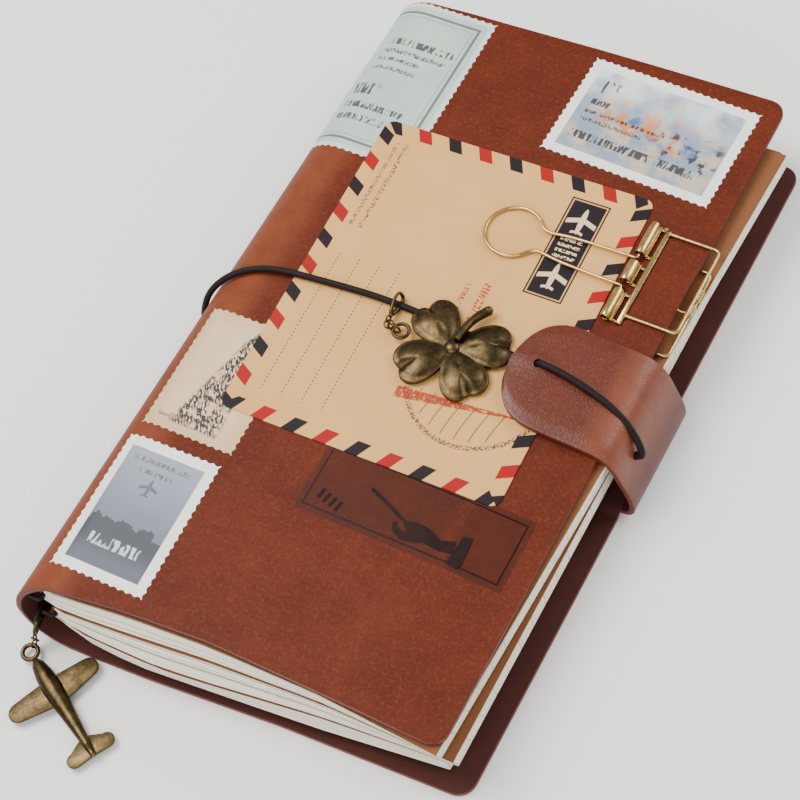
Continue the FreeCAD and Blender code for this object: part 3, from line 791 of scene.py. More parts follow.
def leather_cover():
    places = cover_rows()
    outer = [[cover_point(r, y, 0) for r, y in row] for row in places]
    inner = [[cover_point(r, y, LEATHER) for r, y in row] for row in places]
    shape = Shape()
    shape.slab(outer, inner, lambda i, j: places[i][j])
    cover = shape.build("leather_cover", ["hide", "inside", "edge"], bevel=0.45)
    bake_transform(cover)
    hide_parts("cover_back", "spine_back_half", "spine_front_half", "cover_front")


# ---- strap and elastic ----------------------------------------------------
TAB_TIP_X, TAB_TOP, TAB_THICK = 96.0, 29.8, 1.6
TIP_RUN, TIP_POWER, TIP_HALF = 15.0, 2.3, 1.2   # length, roundness and least half width of the tip
TIP_LIFT, CORD_HUMP = 1.5, 0.35                 # the tip stands up, and the elastic shows under it
STRAP_HALF_STEPS = 16
# the strap's outside from above the cover, round the fore-edge, to under the back cover
TAB_BEND = [(112.0, 29.8), (119.0, 29.8), (125.0, 29.6), (131.6, 28.6), (135.0, 24.4), (137.0, 18.6),
            (139.0, 12.6), (140.3, 7.5), (140.2, 3.2), (138.2, 0.3), (134.0, 0.05), (129.0, 0.05),
            (POCKET_X, 0.05)]
HOLE_TOP = (103.8, 109.5)
HOLE_SIDE = (137.0, 100.3, 18.6)


def tab_path():
    """(x, z, outward x, outward z) along the strap's outside, tip first."""
    path = [(TAB_TIP_X + e, TAB_TOP) for e in (0.0, 0.3, 0.9, 1.8, 3.0, 4.6, 6.4, 9.0, 12.0)]
    path += [(p.x, p.z) for p in spline([(x, 0, z) for x, z in TAB_BEND], fine=4)]
    sides = []
    for before, after in zip([path[0]] + path[:-1], path[1:] + [path[-1]]):
        along = Vector((after[0] - before[0], after[1] - before[1])).normalized()
        sides.append((-along.y, along.x))
    return [(x, z, nx, nz) for (x, z), (nx, nz) in zip(path, sides)]


def strap():
    """The closure strap, with the two holes that the elastic passes through."""
    middle, half = sum(TAB_Y) / 2, (TAB_Y[1] - TAB_Y[0]) / 2
    shares = [k / STRAP_HALF_STEPS for k in range(-STRAP_HALF_STEPS, STRAP_HALF_STEPS + 1)]
    top, bottom, uvs = [], [], []
    run = 0.0
    last = None
    for x, z, nx, nz in tab_path():
        flat = smooth(0.985, 0.999, nz)
        run += math.hypot(x - last[0], z - last[1]) if last else 0.0
        last = (x, z)
        share = min(run / TIP_RUN, 1.0)
        width = half * max(1 - (1 - share) ** TIP_POWER, 0.0) ** (1 / TIP_POWER)
        width = max(width, TIP_HALF)
        lift = TIP_LIFT * smooth(124.0, 100.0, x) * flat
        row_top, row_bottom = [], []
        for s in shares:
            y = middle + width * s
            hump = CORD_HUMP * math.exp(-((y - 110.0) / 3.5) ** 2) * smooth(112.0, 103.0, x) * flat
            curl = -0.5 * smooth(0.75, 1.0, abs(s)) * smooth(0.3, 0.8, nz)
            rise = lift + hump + curl
            row_top.append((x + nx * curl * 0.3, y, z + rise))
            row_bottom.append((x - nx * TAB_THICK, y, z - nz * TAB_THICK + rise))
        top.append(row_top)
        bottom.append(row_bottom)
        uvs.append([(run, middle + width * s) for s in shares])
    shape = Shape()
    shape.slab(top, bottom, lambda i, j: uvs[i][j])
    tab = shape.build("leather_tab", ["strap", "inside", "edge"], bevel=0.4)
    x, y = HOLE_TOP
    drill(tab, [(x, y, 26.0), (x, y, 34.0)], 1.35)
    x, y, z = HOLE_SIDE
    drill(tab, [(x - 5, y, z - 2), (x + 5, y, z + 2)], 1.3)
    soften(tab, 35)
    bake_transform(tab)
    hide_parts("tab_front", "tab_back")


ELASTIC_D = 2.0
FRONT_STRAND = [(-1.3, 94.0, 13.9), (-0.9, 95.6, 18.4), (1.4, 98.6, 23.6), (5.6, 102.4, 27.2),
                (11.0, 106.2, 28.9), (19.0, 109.2, 29.2), (34.0, 110.9, 29.2), (53.0, 112.6, 29.2),
                (74.0, 111.8, 29.2), (92.0, 110.4, 29.1), (100.0, 109.9, 29.0), (103.4, 109.6, 29.6),
                (103.9, 109.5, 31.0)]
TAB_STRAND = [(103.7, 109.5, 30.2), (104.0, 109.5, 31.9), (106.6, 109.3, 32.2), (112.0, 108.9, 31.9),
              (120.0, 107.6, 31.0), (127.0, 106.0, 29.9), (133.0, 104.2, 27.0), (136.8, 102.4, 23.2),
              (138.8, 100.9, 19.9), (138.3, 100.3, 18.7), (135.5, 100.3, 18.0)]
BACK_STRAND = [(-1.3, 94.0, 13.9), (-1.3, 98.6, 10.8), (-0.7, 104.0, 8.4), (1.1, 107.3, 5.4),
               (5.2, 107.5, 2.9), (12.0, 107.5, 2.3), (60.0, 107.5, 2.3), (120.0, 107.5, 2.4),
               (134.0, 107.5, 2.7), (136.6, 106.8, 4.0), (137.2, 104.0, 9.0), (136.6, 101.4, 14.2),
               (135.6, 100.3, 18.0)]


def elastic_loop():
    for name, route, body, nodes in (
            ("elastic_front", FRONT_STRAND, "front_cover", ["closure_elastic_front"]),
            ("elastic_over_tab", TAB_STRAND, "closure_tab", ["closure_elastic_tab"]),
            ("elastic_back", BACK_STRAND, "back_cover", ["closure_elastic_back"])):
        shape = Shape()
        shape.sweep(spline(route), ELASTIC_D / 2, sides=16)
        place(shape.build(name, ["elastic"], angle=60), body, "elastic", *nodes)


# ---- inserts --------------------------------------------------------------
INSERT_WIDTH, INSERT_LENGTH, INSERT_THICK, KRAFT = 122.0, 207.0, 6.1, 0.4
LEAVES = 9                  # leaves in each half
STACK_LOW, STACK_PITCH = 5.3, 6.45
BAND_RADIUS = 0.6
# where the bottom ends really reach, at four heights in the stack: they fan out toward the fold
END_LINES = [(5.3, [(8, -5.3), (18.6, -7.8), (36, -8.3), (59, -5.9), (92, -2.5), (130, 2.8)]),
             (11.6, [(8, -6.5), (20, -8.4), (45, -8.0), (61, -5.9), (93, -1.0), (132, 3.0)]),
             (18.0, [(8, -6.2), (15, -7.0), (35, -5.0), (60, -2.0), (93, 0.6), (131, 1.0)]),
             (24.3, [(8, -4.8), (14, -5.0), (35, -2.2), (60, -0.2), (94, 0.5), (131, -1.2)])]
# fold x, bottom y, turn in degrees, and the names of the bodies of its back and front halves
INSERTS = [(7.4, 2.0, -1.8, "insert_1_back", "front_cover"),
           (10.3, 3.0, 0.0, "middle_leaves", "insert_2_front"),
           (7.0, 0.5, 0.0, "back_cover", "middle_leaves")]


def fan_out(shape, y0, turn):
    """Stretches the bottom ends of sheets that start at y0 to the fanned end lines."""
    for p in shape.points:
        if p.y < 60:
            straight = y0 + p.x * math.tan(math.radians(turn))
            end = knots([(z, knots(line, p.x)) for z, line in END_LINES], p.z)
            p.y += (end - straight) * smooth(60, -2, p.y)


def insert_half(number, x0, y0, turn, low, high, mid, back, body):
    """A kraft half cover with its leaves, folded at local x = 0."""
    half = "back" if back else "front"
    side = -1 if back else 1
    outer = low if back else high
    cover = Shape()
    fold = INSERT_THICK / 2
    profile = [(fold * (1 - math.cos(t)) * 0.75, math.sin(t))
               for t in (math.pi / 2 * k / 8 for k in range(9))]
    line = [(x, mid + side * fold * s) for x, s in profile]
    line += [(x, outer) for x in spread(5.0, INSERT_WIDTH, 9.0)]
    inner = [(x + KRAFT * max(0.0, 1 - k / 8), z - side * KRAFT * min(k / 8, 1.0))
             for k, (x, z) in enumerate(line)]
    ys = spread(0, INSERT_LENGTH, 6.0)
    cover.slab([[(x, y, z) for y in ys] for x, z in line], [[(x, y, z) for y in ys] for x, z in inner],
               lambda i, j: (line[i][0], ys[j]), kinds=(0, 0, 0))
    cover.move(turn, (x0, y0, 0))
    fan_out(cover, y0, turn)
    place(cover.build("kraft_%d_%s" % (number, half), ["kraft"], angle=40), body, "kraft",
          "insert_%d_cover_%s" % (number, half))

    pages = Shape()
    rng = random.Random(10 * number + back)
    first, last = mid + side * 0.16, outer - side * (KRAFT + 0.02)
    pitch = (last - first) / LEAVES
    for k in range(LEAVES):
        z0, z1 = first + pitch * k, first + pitch * (k + 0.9)
        reach = INSERT_WIDTH + 0.25 - 0.2 * (1 - k / LEAVES) + rng.uniform(-0.2, 0.2)
        start, end = rng.uniform(-0.3, 0.25), INSERT_LENGTH + rng.uniform(-0.3, 0.2)
        xs = [1.1 + 1.0 * (1 - k / LEAVES)] + spread(6.0, reach, 9.0)
        ys = spread(start, end, 8.0)
        top = [[(x, y, z1 + 0.03 * math.sin(y / 19.0 + k)) for y in ys] for x in xs]
        bottom = [[(x, y, z0 + 0.03 * math.sin(y / 19.0 + k)) for y in ys] for x in xs]
        pages.slab(top, bottom, lambda i, j, xs=xs, ys=ys: (xs[i], ys[j]), kinds=(0, 0, 0))
    pages.move(turn, (x0, y0, 0))
    fan_out(pages, y0, turn)
    place(pages.build("pages_%d_%s" % (number, half), ["paper"]), body, "pages",
          "insert_%d_pages_%s" % (number, half))


def inserts():
    for number, (x0, y0, turn, back_body, front_body) in enumerate(INSERTS, start=1):
        low = STACK_LOW + (3 - number) * STACK_PITCH
        high, mid = low + INSERT_THICK, low + INSERT_THICK / 2
        insert_half(number, x0, y0, turn, low, high, mid, True, back_body)
        insert_half(number, x0, y0, turn, low, high, mid, False, front_body)
        body = front_body if number == 1 else back_body
        gutter, top = x0 + 1.35, y0 + INSERT_LENGTH + 1.5
        end = knots(END_LINES[3 - number][1], gutter) - 1.0
        far = gutter - INSERT_LENGTH * math.sin(math.radians(turn))
        band = Shape()
        route = cornered([(gutter - 3.5, end, mid), (gutter, end, mid),
                          (far, top, mid), (far - 3.5, top, mid)], 1.2)
        band.sweep(spline(route), BAND_RADIUS, sides=10)
        place(band.build("band_%d" % number, ["cord"], angle=60), body, "elastic",
              "insert_%d_band" % number)


# ---- postcard and stickers ------------------------------------------------
def scalloped(width, length, pitch=2.5, bite=0.55):
    """Outline with small round bites all along its edge, as a perforated stamp."""
    outline = []
    for (x, y), (dx, dy), run in (((0, 0), (1, 0), width), ((width, 0), (0, 1), length),
                                  ((width, length), (-1, 0), width), ((0, length), (0, -1), length)):
        count = round(run / pitch)
        for k in range(count):
            for t in (0.0, 0.12, 0.3, 0.5, 0.7, 0.88):
                along = (k + t) * run / count
                depth = bite * max(0.0, math.sin(math.pi * (t - 0.06) / 0.88)) if t else 0.0
                outline.append((x + dx * along - dy * depth, y + dy * along + dx * depth))
    return outline


def rounded(width, length, radius):
    outline = []
    for cx, cy, start in ((width - radius, radius, -90), (width - radius, length - radius, 0),
                          (radius, length - radius, 90), (radius, radius, 180)):
        for k in range(7):
            t = math.radians(start + 15 * k)
            outline.append((cx + radius * math.cos(t), cy + radius * math.sin(t)))
    return outline


def on_cover(outline, x, y, turn, low, thick, name, material, slot, nodes):
    """A thin sheet stuck on the cover. x may be less than the spine's flat start, and then it wraps."""
    bm = bmesh.new()
    bm.faces.new([bm.verts.new((a, b, 0)) for a, b in outline])
    rotation = Matrix.Rotation(math.radians(turn), 3, "Z")
    cuts = [SPINE_R - 1.6 * k for k in range(14)] + spread(20.0, COVER_REACH, 7.0)
    for cut in cuts:
        direction = rotation.inverted() @ Vector((1, 0, 0))
        origin = rotation.inverted() @ Vector((cut - x, 0, 0))
        bmesh.ops.bisect_plane(bm, geom=bm.verts[:] + bm.edges[:] + bm.faces[:],
                               plane_co=origin, plane_no=direction)
    shape = Shape()
    for face in bm.faces:
        local = [v.co.copy() for v in face.verts]
        flat = [rotation @ p + Vector((x, y, 0)) for p in local]
        for depth, order in ((-low - thick, 1), (-low, -1)):
            points = [cover_point(FRONT_START + p.x - SPINE_R, p.y, depth) for p in flat]
            shape.face(points[::order], [(p.x, p.y) for p in local][::order])
    for edge in bm.edges:
        if edge.is_boundary:
            local = [v.co.copy() for v in edge.verts]
            flat = [rotation @ p + Vector((x, y, 0)) for p in local]
            ends = [cover_point(FRONT_START + p.x - SPINE_R, p.y, -low) for p in flat]
            tops = [cover_point(FRONT_START + p.x - SPINE_R, p.y, -low - thick) for p in flat]
            shape.face([ends[0], ends[1], tops[1], tops[0]], [(p.x, p.y) for p in local + local[::-1]])
    bm.free()
    place(shape.build(name, [material], angle=30), "front_cover", slot, *nodes)


def hand_print(x, y, low):
    """Printed pointing hand with its cuff, and a few short strokes beside it."""
    finger = [(17.5, 13.9), (24.0, 11.6), (29.0, 9.4), (30.5, 8.6), (30.2, 7.9), (28.0, 8.6), (23.5, 10.6),
              (17.3, 12.9)]
    palm = [(30.2, 8.4), (33.6, 9.4), (38.0, 9.0), (42.0, 7.2), (46.0, 8.6), (46.4, 5.0), (43.0, 4.2),
            (38.0, 4.6), (35.0, 3.4), (31.6, 3.0), (28.4, 4.6), (27.6, 6.8), (28.6, 7.4), (30.0, 5.6),
            (32.6, 5.4), (31.0, 7.0)]
    cuff = [(47.0, 10.8), (49.6, 11.2), (50.2, 3.0), (49.6, 1.6), (46.2, 2.0), (46.6, 6.0)]
    strokes = [[(5.2 + 2.1 * k, 8.0 - 0.6 * k), (6.2 + 2.1 * k, 8.0 - 0.6 * k),
                (5.6 + 2.1 * k, 5.0 - 0.6 * k), (4.6 + 2.1 * k, 5.0 - 0.6 * k)] for k in range(4)]
    shape = Shape()
    for outline in [finger, palm, cuff] + strokes:
        shape.prism([(a + x, b + y) for a, b in outline], low, low + 0.04)
    place(shape.build("film_print", ["ink"]), "front_cover", "film")


def paper_goods():
    on_cover(rounded(*CARD, 3.0), 25.8, 63.6, 1.8, 0.1, 0.3, "airmail_postcard", "card", "card",
             ["postcard"])
    for key, art, size, x, y, turn, thick, name, node in (
            ("label", label_art, (41.0, 60.5), -4.6, 155.2, 0.0, 0.08, "stamp_label", "sticker_label"),
            ("map", map_art, (54.4, 36.8), 69.2, 178.6, -1.9, 0.14, "stamp_map", "sticker_map"),
            ("sketch", sketch_art, (30.4, 41.5), 7.4, 50.2, 1.0, 0.07, "stamp_sketch", "sticker_sketch"),
            ("sky", sky_art, (30.6, 44.0), 7.6, 2.0, 1.5, 0.14, "stamp_sky", "sticker_sky")):
        MATERIAL[key] = art(*size)
        on_cover(scalloped(*size), x, y, turn, 0.02, thick, name, key, "sticker", [node])
    film_size = (63.0, 22.4)
    MATERIAL["film"] = film_art(*film_size)
    on_cover(rounded(*film_size, 0.8), 61.4, 44.6, 0.4, 0.02, 0.06, "film_sticker", "film", "film",
             ["sticker_film"])
    hand_print(61.4, 44.6, HEIGHT + 0.12)


# ---- wire clip ------------------------------------------------------------
LIP_X, LIP_Z, LIP_THICK = 113.2, HEIGHT + 1.7, 0.35
FRAME_X = 133.4
CLIP_Y = (131.5, 165.3)
FRAME_Y = (134.6, 164.4)
LOWER_SHIFT = -6.0
LOWER_Z = HEIGHT - LEATHER - 0.75
HINGE = (133.6, 26.75)
RING = (76.5, 147.8, 8.6)
WIRE_RADIUS, COIL_RADIUS = 0.5, 0.24
COIL_STEPS, COIL_PITCH = 14, 0.6


def clip_frame(name, z, shift, body, node, tail):
    """A three-sided wire frame; tail gives the y of the small loops at its open ends."""
    y0, y1 = FRAME_Y[0] + shift, FRAME_Y[1] + shift
    start = LIP_X + 4.6
    route = cornered([(start, y0, z), (FRAME_X, y0, z), (FRAME_X, y1, z), (start, y1, z)], 4.0)
    shape = Shape()
    shape.sweep(spline(route), WIRE_RADIUS, sides=12)
    for y in tail:
        shape.ring((start + 0.4, y, z), (1, 0, 0.2), 0.62, 0.4)
    place(shape.build(name, ["gold"], angle=60), body, "gold_wire", node)


def rolled(shape, y0, y1, start, end, radius=1.5):
    """A strip of sheet rolled about the lip's axis between two angles in degrees."""
    angles = spread(math.radians(start), math.radians(end), math.radians(15))
    ys = spread(y0, y1, 2.0)
    top = [[(LIP_X + radius * math.cos(t), y, LIP_Z + radius * math.sin(t)) for y in ys] for t in angles]
    inner = radius - LIP_THICK
    bottom = [[(LIP_X + inner * math.cos(t), y, LIP_Z + inner * math.sin(t)) for y in ys] for t in angles]
    shape.slab(top, bottom, lambda i, j: (i, j), kinds=(0, 0, 0))


def bar(shape, x0, x1, y0, y1, z0, z1):
    shape.prism([(x0, y0), (x1, y0), (x1, y1), (x0, y1)], z0, z1)


def clip_lip():
    """Rolled sheet jaw with its slots and end loops."""
    shape = Shape()
    z0, z1 = HEIGHT + 0.25, HEIGHT + 0.75
    for y0, y1 in ((CLIP_Y[0], 141.2), (154.4, CLIP_Y[1])):
        rolled(shape, y0, y1, -70, 250)
        bar(shape, LIP_X - 0.2, LIP_X + 1.5, y0 + 0.2, y1 - 0.2, z0, z1)
        # the bar along each long slot
        bar(shape, LIP_X + 1.3, LIP_X + 2.2, y0, y1, z0 + 0.5, z1 + 0.7)
    rolled(shape, 144.4, 151.2, 20, 200, radius=1.7)
    bar(shape, LIP_X + 0.6, LIP_X + 2.2, 144.4, 151.2, z0 + 0.6, z1 + 1.0)
    bar(shape, LIP_X + 3.4, LIP_X + 4.8, *CLIP_Y, z0, z1)
    for y in (CLIP_Y[0], 140.6, 144.4, 150.4, 154.4, CLIP_Y[1] - 0.8):
        bar(shape, LIP_X + 1.4, LIP_X + 3.8, y, y + 0.8, z0, z1)
    for y in CLIP_Y:
        shape.ring((LIP_X, y, LIP_Z), (0, 1, 0), 1.15, 0.45)
        shape.ring((LIP_X + 3.2, y, HEIGHT + 1.0), (0, 1, 0.3), 0.7, 0.4)
    place(shape.build("clip_lip", ["gold"], bevel=0.12), "clip_jaw", "gold_wire", "clip_upper_lip")


def clip_handle():
    """Ring handle whose two legs turn into the knuckles."""
    cx, cy, radius = RING
    neck, gap = math.radians(28), 5.0
    ring = [(cx + radius * math.cos(t), cy + radius * math.sin(t), LIP_Z)
            for t in (neck + (2 * math.pi - 2 * neck) * k / 14 for k in range(15))]
    first = Vector(ring[0])
    leg = [(LIP_X, cy + gap + 3.4, LIP_Z), (LIP_X, cy + gap, LIP_Z), (LIP_X - 1.0, cy + gap, LIP_Z),
           (first.x + 9, cy + gap - 0.4, LIP_Z), (first.x + 2.2, cy + 3.4, LIP_Z)]
    other = [(x, 2 * cy - y, z) for x, y, z in leg[::-1]]
    tilt = math.radians(-0.7)
    route = []
    for p in leg + ring + other:
        offset = LIP_X - p[0]
        route.append((p[0], p[1], p[2] + offset * math.sin(tilt)))
    shape = Shape()
    shape.sweep(spline(route, fine=6), WIRE_RADIUS, sides=12)
    place(shape.build("clip_ring_handle", ["gold"], angle=60), "clip_handle", "gold_wire",
          "clip_upper_handle")


def clip_coils():
    """Two short coils of spring wire wound round the frames' back wires."""
    shape = Shape()
    hx, hz = HINGE
    for start, turns in ((142.6, 5), (147.6, 6)):
        path = [(hx + 0.85 * math.cos(2 * math.pi * k / COIL_STEPS), start + COIL_PITCH * k / COIL_STEPS,
                 hz + 1.0 * math.sin(2 * math.pi * k / COIL_STEPS))
                for k in range(COIL_STEPS * turns + 1)]
        shape.sweep(path, COIL_RADIUS, sides=8)
    tails = [[(hx, 142.6, hz + 1.0), (hx - 1.8, 141.4, hz + 1.9), (hx - 3.0, 141.8, hz + 2.2)],
             [(hx, 151.2, hz - 0.9), (hx + 0.2, 153.6, hz - 0.6), (hx + 0.1, 156.0, hz - 0.4)]]
    for tail in tails:
        shape.sweep(spline(tail), COIL_RADIUS, sides=8)
    place(shape.build("clip_coils", ["gold"], angle=60), "front_cover", "gold_wire", "clip_spring")


def wire_clip():
    clip_frame("clip_frame_upper", HEIGHT + 0.75, 0, "clip_jaw", "clip_upper_frame", FRAME_Y)
    clip_frame("clip_frame_lower", LOWER_Z, LOWER_SHIFT, "front_cover", "clip_lower_frame", ())
    clip_lip()
    clip_handle()
    clip_coils()


# ---- charms ---------------------------------------------------------------
CLOVER_CENTRE = (79.0, 105.2)
CLOVER_PIVOT = (60.9, 104.2, 30.4)
CLOVER_LEAVES = (26, 143, 226, 314)
CLOVER_LOW = 29.2
# half outline of a heart leaf about its own middle: (degrees from outward, radius)
LEAF_RADIUS = [(0, 6.4), (10, 7.0), (25, 7.9), (45, 8.1), (70, 7.4), (95, 6.5), (125, 6.4), (150, 7.4),
               (180, 9.4)]
# height of the dome from the middle to the rim
LEAF_DOME = [(0, 2.7), (0.3, 2.6), (0.6, 2.1), (0.8, 1.5), (0.9, 1.15), (0.94, 1.25), (0.98, 1.2),
             (1.0, 0.95)]


def clover_leaf(shape, direction):
    """One heart-shaped leaf, domed, with a crease toward its notch."""
    turns, middle = 44, 9.5
    shares = (1.0, 0.98, 0.94, 0.88, 0.75, 0.58, 0.4, 0.2, 0.04)
    turn = math.radians(direction)
    cx, cy = CLOVER_CENTRE

    def point(share, k, low):
        phi = 2 * math.pi * k / turns
        off = abs(math.degrees(phi) if phi <= math.pi else 360 - math.degrees(phi))
        radius = knots(LEAF_RADIUS, off) * share
        p, q = middle + radius * math.cos(phi), radius * math.sin(phi)
        crease = 0.9 * math.exp(-(q / 0.8) ** 2) * smooth(3.0, 8.0, p) * smooth(0.1, 0.5, share)
        height = knots(LEAF_DOME, share) - crease if not low else knots(LEAF_DOME, share) * 0.9 - 0.75
        droop = -0.03 * max(0.0, p - 8.0) ** 1.3
        return (cx + p * math.cos(turn) - q * math.sin(turn), cy + p * math.sin(turn) + q * math.cos(turn),
                CLOVER_LOW + height + droop)
    rows = [[point(s, k, False) for k in range(turns)] for s in reversed(shares)]
    rows += [[point(s, k, True) for k in range(turns)] for s in shares]
    shape.grid(rows, lambda i, j: (i, j), wrap=True)
    for row in (rows[0], rows[-1]):
        shape.face(row, [(p[0], p[1]) for p in row])


def clover():
    """Four leaves, a boss, a stem with a bead, and the eye."""
    shape = Shape()
    cx, cy = CLOVER_CENTRE
    for direction in CLOVER_LEAVES:
        clover_leaf(shape, direction)
    shape.sphere((cx, cy, CLOVER_LOW + 1.2), 2.4, squash=0.55)
    stem = spline([(cx + 0.6, cy + 2.0, CLOVER_LOW + 2.4), (cx + 0.9, cy + 6.0, CLOVER_LOW + 2.5),
                   (cx + 1.8, cy + 11.0, CLOVER_LOW + 1.9), (cx + 4.0, cy + 14.4, CLOVER_LOW + 1.5)])
    count = len(stem)
    shape.sphere(stem[-1], 1.5)
    shape.sweep(stem, [1.0 + 0.45 * k / count for k in range(count)], sides=12)
    px, py, pz = CLOVER_PIVOT
    shape.ring((px + 2.3, py, pz), (0, 0, 1), 2.3, 1.05, sides=12)
    place(shape.build("clover", ["bronze"], angle=50), "clover", "bronze", "clover_charm")


def lobster(shape, hook, tail, normal, width):
    """A small lobster clasp from its hooked end to its eye."""
    hook, tail, normal = Vector(hook), Vector(tail), Vector(normal).normalized()
    along = (tail - hook).normalized()
    across = along.cross(normal) * width
    size = (tail - hook).length
    side = [(0.0, 0.0), (0.02, 0.75), (0.25, 1.0), (0.5, 0.85), (0.72, 0.45), (0.84, 0.16)]
    left = [hook + along * size * s + across * w for s, w in side]
    right = [hook + along * size * s - across * w * 0.9 for s, w in side[::-1]]
    body = spline(left[1:] + right[:-1] + [left[0]], closed=True, fine=5)
    count = len(body)
    shape.sweep(body, [0.42 + 0.28 * math.sin(math.pi * k / count) for k in range(count)],
                sides=10, closed=True)
    shape.sweep([tail - along * size * 0.2, tail - along * size * 0.06], 0.62, sides=12)
    shape.ring(tail + along * 0.5, normal, 0.95, 0.55, sides=8, turns=20)


def clover_fittings():
    px, py, pz = CLOVER_PIVOT
    clasp = Shape()
    lobster(clasp, (px - 3.3, py + 10.8, 30.4), (px - 3.0, py + 2.6, 30.3), (1, 0.0, 0.35), 1.9)
    clasp.ring((px - 1.9, py + 0.6, pz), (0.2, 0, 1), 1.35, 0.6, sides=8, turns=24)
    place(clasp.build("clover_clasp_detail", ["bronze"], angle=50), "front_cover", "bronze", "clover_clasp")
    ring = Shape()
    ring.ring((px, py, pz), (0, 1, 0), 1.9, 0.7)
    place(ring.build("clover_ring", ["bronze"], angle=60), "front_cover", "bronze", "clover_jump_ring")


PLANE_EYE = (5.1, -17.0)
PLANE_TURN = -28.0
# fuselage radius along its length from the eye
FUSELAGE = [(3.0, 0.7), (5.0, 1.9), (9.0, 2.75), (14.0, 2.95), (20.0, 2.5), (28.0, 1.8), (34.0, 1.3),
            (38.0, 0.8)]


def paddle(root0, root1, tip, reach, radius):
    """Outline of both wings together: straight edges with round tips."""
    half = [(root0, 0.0)]
    for k in range(9):
        t = math.pi - math.pi * k / 8
        half.append((tip + radius * math.cos(t), reach - radius + radius * math.sin(t)))
    half.append((root1, 0.0))
    return half + [(x, -y) for x, y in half[-2:0:-1]]


def airplane():
    """Toy aeroplane charm: x runs from its nose eye to its tail before it is turned."""
    shape = Shape()
    stations = [3.0, 3.6, 4.4] + spread(5.0, 38.0, 1.5)
    shape.sweep([(s, 0, 2.6) for s in stations], [knots(FUSELAGE, s) for s in stations],
                sides=20, flat=0.82)
    shape.prism(paddle(10.5, 19.5, 14.4, 14.2, 3.0), 2.0, 2.9)
    shape.prism(paddle(31.0, 38.0, 36.0, 7.4, 2.3), 1.6, 2.5)
    fin = [(32.0, 2.6), (36.8, 4.9), (38.6, 4.9), (38.6, 2.4)]
    rows = [[(x, y, z) for x, z in fin] for y in (-0.45, 0.45)]
    shape.face(rows[0], fin)
    shape.face(rows[1][::-1], fin)
    loop = [0, 1, 2, 3, 0]
    shape.grid([[rows[0][k] for k in loop], [rows[1][k] for k in loop]], lambda i, j: (i, j))
    shape.ring((0, 0, 2.2), (0, 0, 1), 2.25, 1.35, sides=12)
    shape.move(PLANE_TURN, (*PLANE_EYE, 0))
    place(shape.build("airplane", ["bronze"], bevel=0.28, angle=50), "airplane", "bronze", "airplane_charm")


def airplane_fittings():
    loop = Shape()
    route = [(5.4, 6.0, 8.8), (5.0, -2.0, 9.0), (5.6, -8.6, 8.8), (6.6, -11.8, 9.8), (6.8, -11.6, 11.4),
             (5.4, -8.0, 12.1), (4.6, -2.0, 11.9), (5.0, 6.0, 11.6)]
    loop.sweep(spline(route), 0.85, sides=12)
    place(loop.build("hanging_loop_bottom", ["elastic"], angle=60), "back_cover", "elastic",
          "charm_loop_bottom")
    clasp = Shape()
    lobster(clasp, (6.6, -10.2, 11.6), (5.2, -13.0, 5.4), (0.9, 0.3, 0.1), 2.1)
    place(clasp.build("airplane_clasp_detail", ["bronze"], angle=50), "back_cover", "bronze",
          "airplane_clasp")
    links = Shape()
    links.ring((5.2, -13.6, 4.3), (0, 1, 0.4), 1.15, 0.5, sides=8, turns=22)
    links.ring((5.15, -14.5, 3.2), (1, 0.1, 0), 1.3, 0.5, sides=8, turns=22)
    place(links.build("airplane_links", ["bronze"], angle=60), "back_cover", "bronze", "airplane_chain")


MEDALLION = (-1.4, 198.0, 7.0)
MEDALLION_BEADS = 26


def medallion():
    """Dished disc with a ring of beads near its rim and an eye."""
    cx, cy, radius = MEDALLION
    profile = [(0.0, 2.0), (2.6, 2.0), (3.0, 1.6), (4.6, 1.6), (5.0, 2.1), (5.4, 2.1), (radius - 0.8, 1.5),
               (radius - 0.7, 0.9), (5.4, 0.3), (0.0, 0.3)]
    turns = 48
    shape = Shape()
    rows = [[(cx + r * math.cos(t), cy + r * math.sin(t), z)
             for t in around(turns)]
            for r, z in profile]
    shape.grid(rows, lambda i, j: (i, j), wrap=True)
    for t in around(MEDALLION_BEADS):
        shape.sphere((cx + (radius - 0.85) * math.cos(t), cy + (radius - 0.85) * math.sin(t), 1.4), 0.85)
    shape.ring((cx, cy + 8.9, 1.4), (0, 0, 1), 1.7, 0.8, sides=10, turns=24)
    place(shape.build("medallion", ["bronze"], angle=40), "medallion", "bronze", "medallion_charm")


# ---- carried-over CAD nodes -----------------------------------------------
def paint_cad_nodes():
    for name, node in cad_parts.items():
        if node.hide_render:
            continue
        if "staples" in name:
            key = "steel"
        elif name.startswith("clip"):
            key = "gold"
        elif name.endswith("_band") or name in ("closure_knot", "charm_loop_top"):
            key = "cord"
        else:
            key = "bronze"
        node.data.materials.clear()
        node.data.materials.append(MATERIAL[key])


# ---- stage ----------------------------------------------------------------
LOOK_AT = (72.3, 85.8, 27.0)
AZIMUTH, ELEVATION, ROLL = (math.radians(d) for d in (42.39, 58.29, -16.11))
DISTANCE, LENS, SENSOR = 563.9, 91.5, 36.0
FLOOR_HALF = 3.0


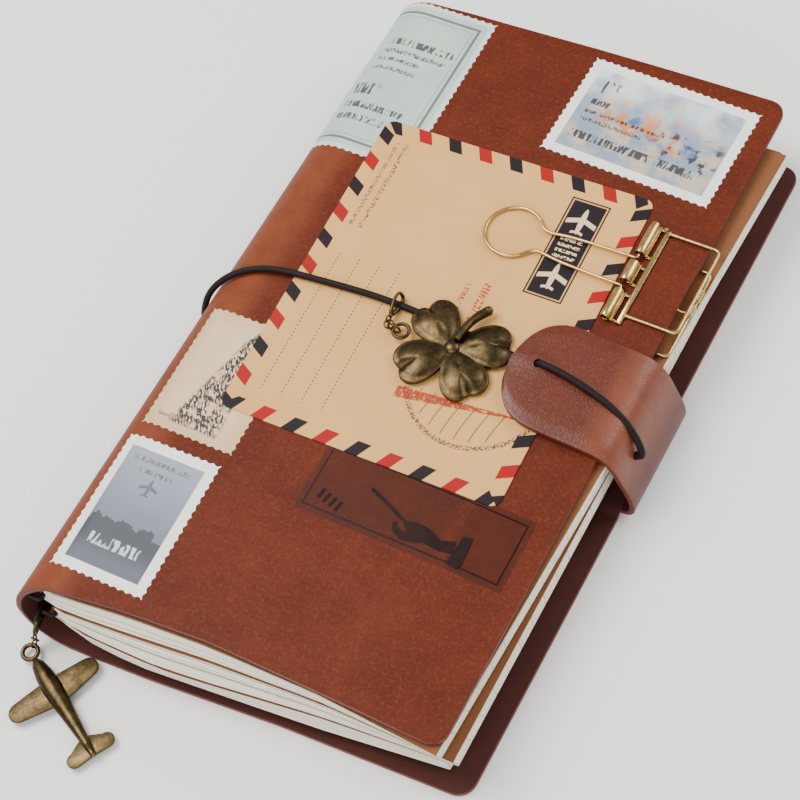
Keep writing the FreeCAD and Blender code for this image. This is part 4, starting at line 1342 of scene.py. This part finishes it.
def camera():
    back = Vector((math.sin(AZIMUTH) * math.cos(ELEVATION), -math.cos(AZIMUTH) * math.cos(ELEVATION),
                   math.sin(ELEVATION)))
    level = Vector((math.cos(AZIMUTH), math.sin(AZIMUTH), 0))
    upright = back.cross(level)
    right = level * math.cos(ROLL) + upright * math.sin(ROLL)
    up = back.cross(right)
    data = bpy.data.cameras.new("camera")
    data.lens, data.sensor_width = LENS, SENSOR
    data.clip_start, data.clip_end = 0.01, 20.0
    obj = bpy.data.objects.new("camera", data)
    obj.matrix_world = Matrix((right, up, back)).transposed().to_4x4()
    obj.location = at(*LOOK_AT) + back * DISTANCE * MM
    bpy.context.scene.collection.objects.link(obj)
    bpy.context.scene.camera = obj


def light(name, place_mm, size, power, tint):
    data = bpy.data.lights.new(name, "AREA")
    data.shape, data.size, data.energy, data.color = "DISK", size, power, tint
    obj = bpy.data.objects.new(name, data)
    obj.location = at(*place_mm)
    toward = at(70, 100, 10) - obj.location
    obj.rotation_euler = toward.to_track_quat("-Z", "Y").to_euler()
    bpy.context.scene.collection.objects.link(obj)


def stage():
    floor = bpy.data.meshes.new("floor")
    half = FLOOR_HALF
    floor.from_pydata([(-half, -half, 0), (half, -half, 0), (half, half, 0), (-half, half, 0)], [],
                      [(0, 1, 2, 3)])
    pale = bpy.data.materials.new("floor")
    pale.use_nodes = True
    pale.node_tree.nodes["Principled BSDF"].inputs["Base Color"].default_value = (0.93, 0.93, 0.93, 1)
    pale.node_tree.nodes["Principled BSDF"].inputs["Roughness"].default_value = 0.9
    floor.materials.append(pale)
    obj = bpy.data.objects.new("floor", floor)
    bpy.context.scene.collection.objects.link(obj)
    world = bpy.data.worlds.new("studio")
    world.use_nodes = True
    world.node_tree.nodes["Background"].inputs["Color"].default_value = (1, 1, 1, 1)
    world.node_tree.nodes["Background"].inputs["Strength"].default_value = 0.55
    bpy.context.scene.world = world
    light("key", (-420, 60, 900), 0.7, 13.0, (1.0, 0.98, 0.95))
    light("front_fill", (250, -700, 500), 0.9, 5.0, (1.0, 1.0, 1.0))
    light("rim", (500, 600, 500), 0.6, 4.0, (1.0, 1.0, 1.0))
    camera()


stage()
leather_cover()
strap()
elastic_loop()
inserts()
paper_goods()
wire_clip()
clover()
clover_fittings()
airplane()
airplane_fittings()
medallion()
paint_cad_nodes()
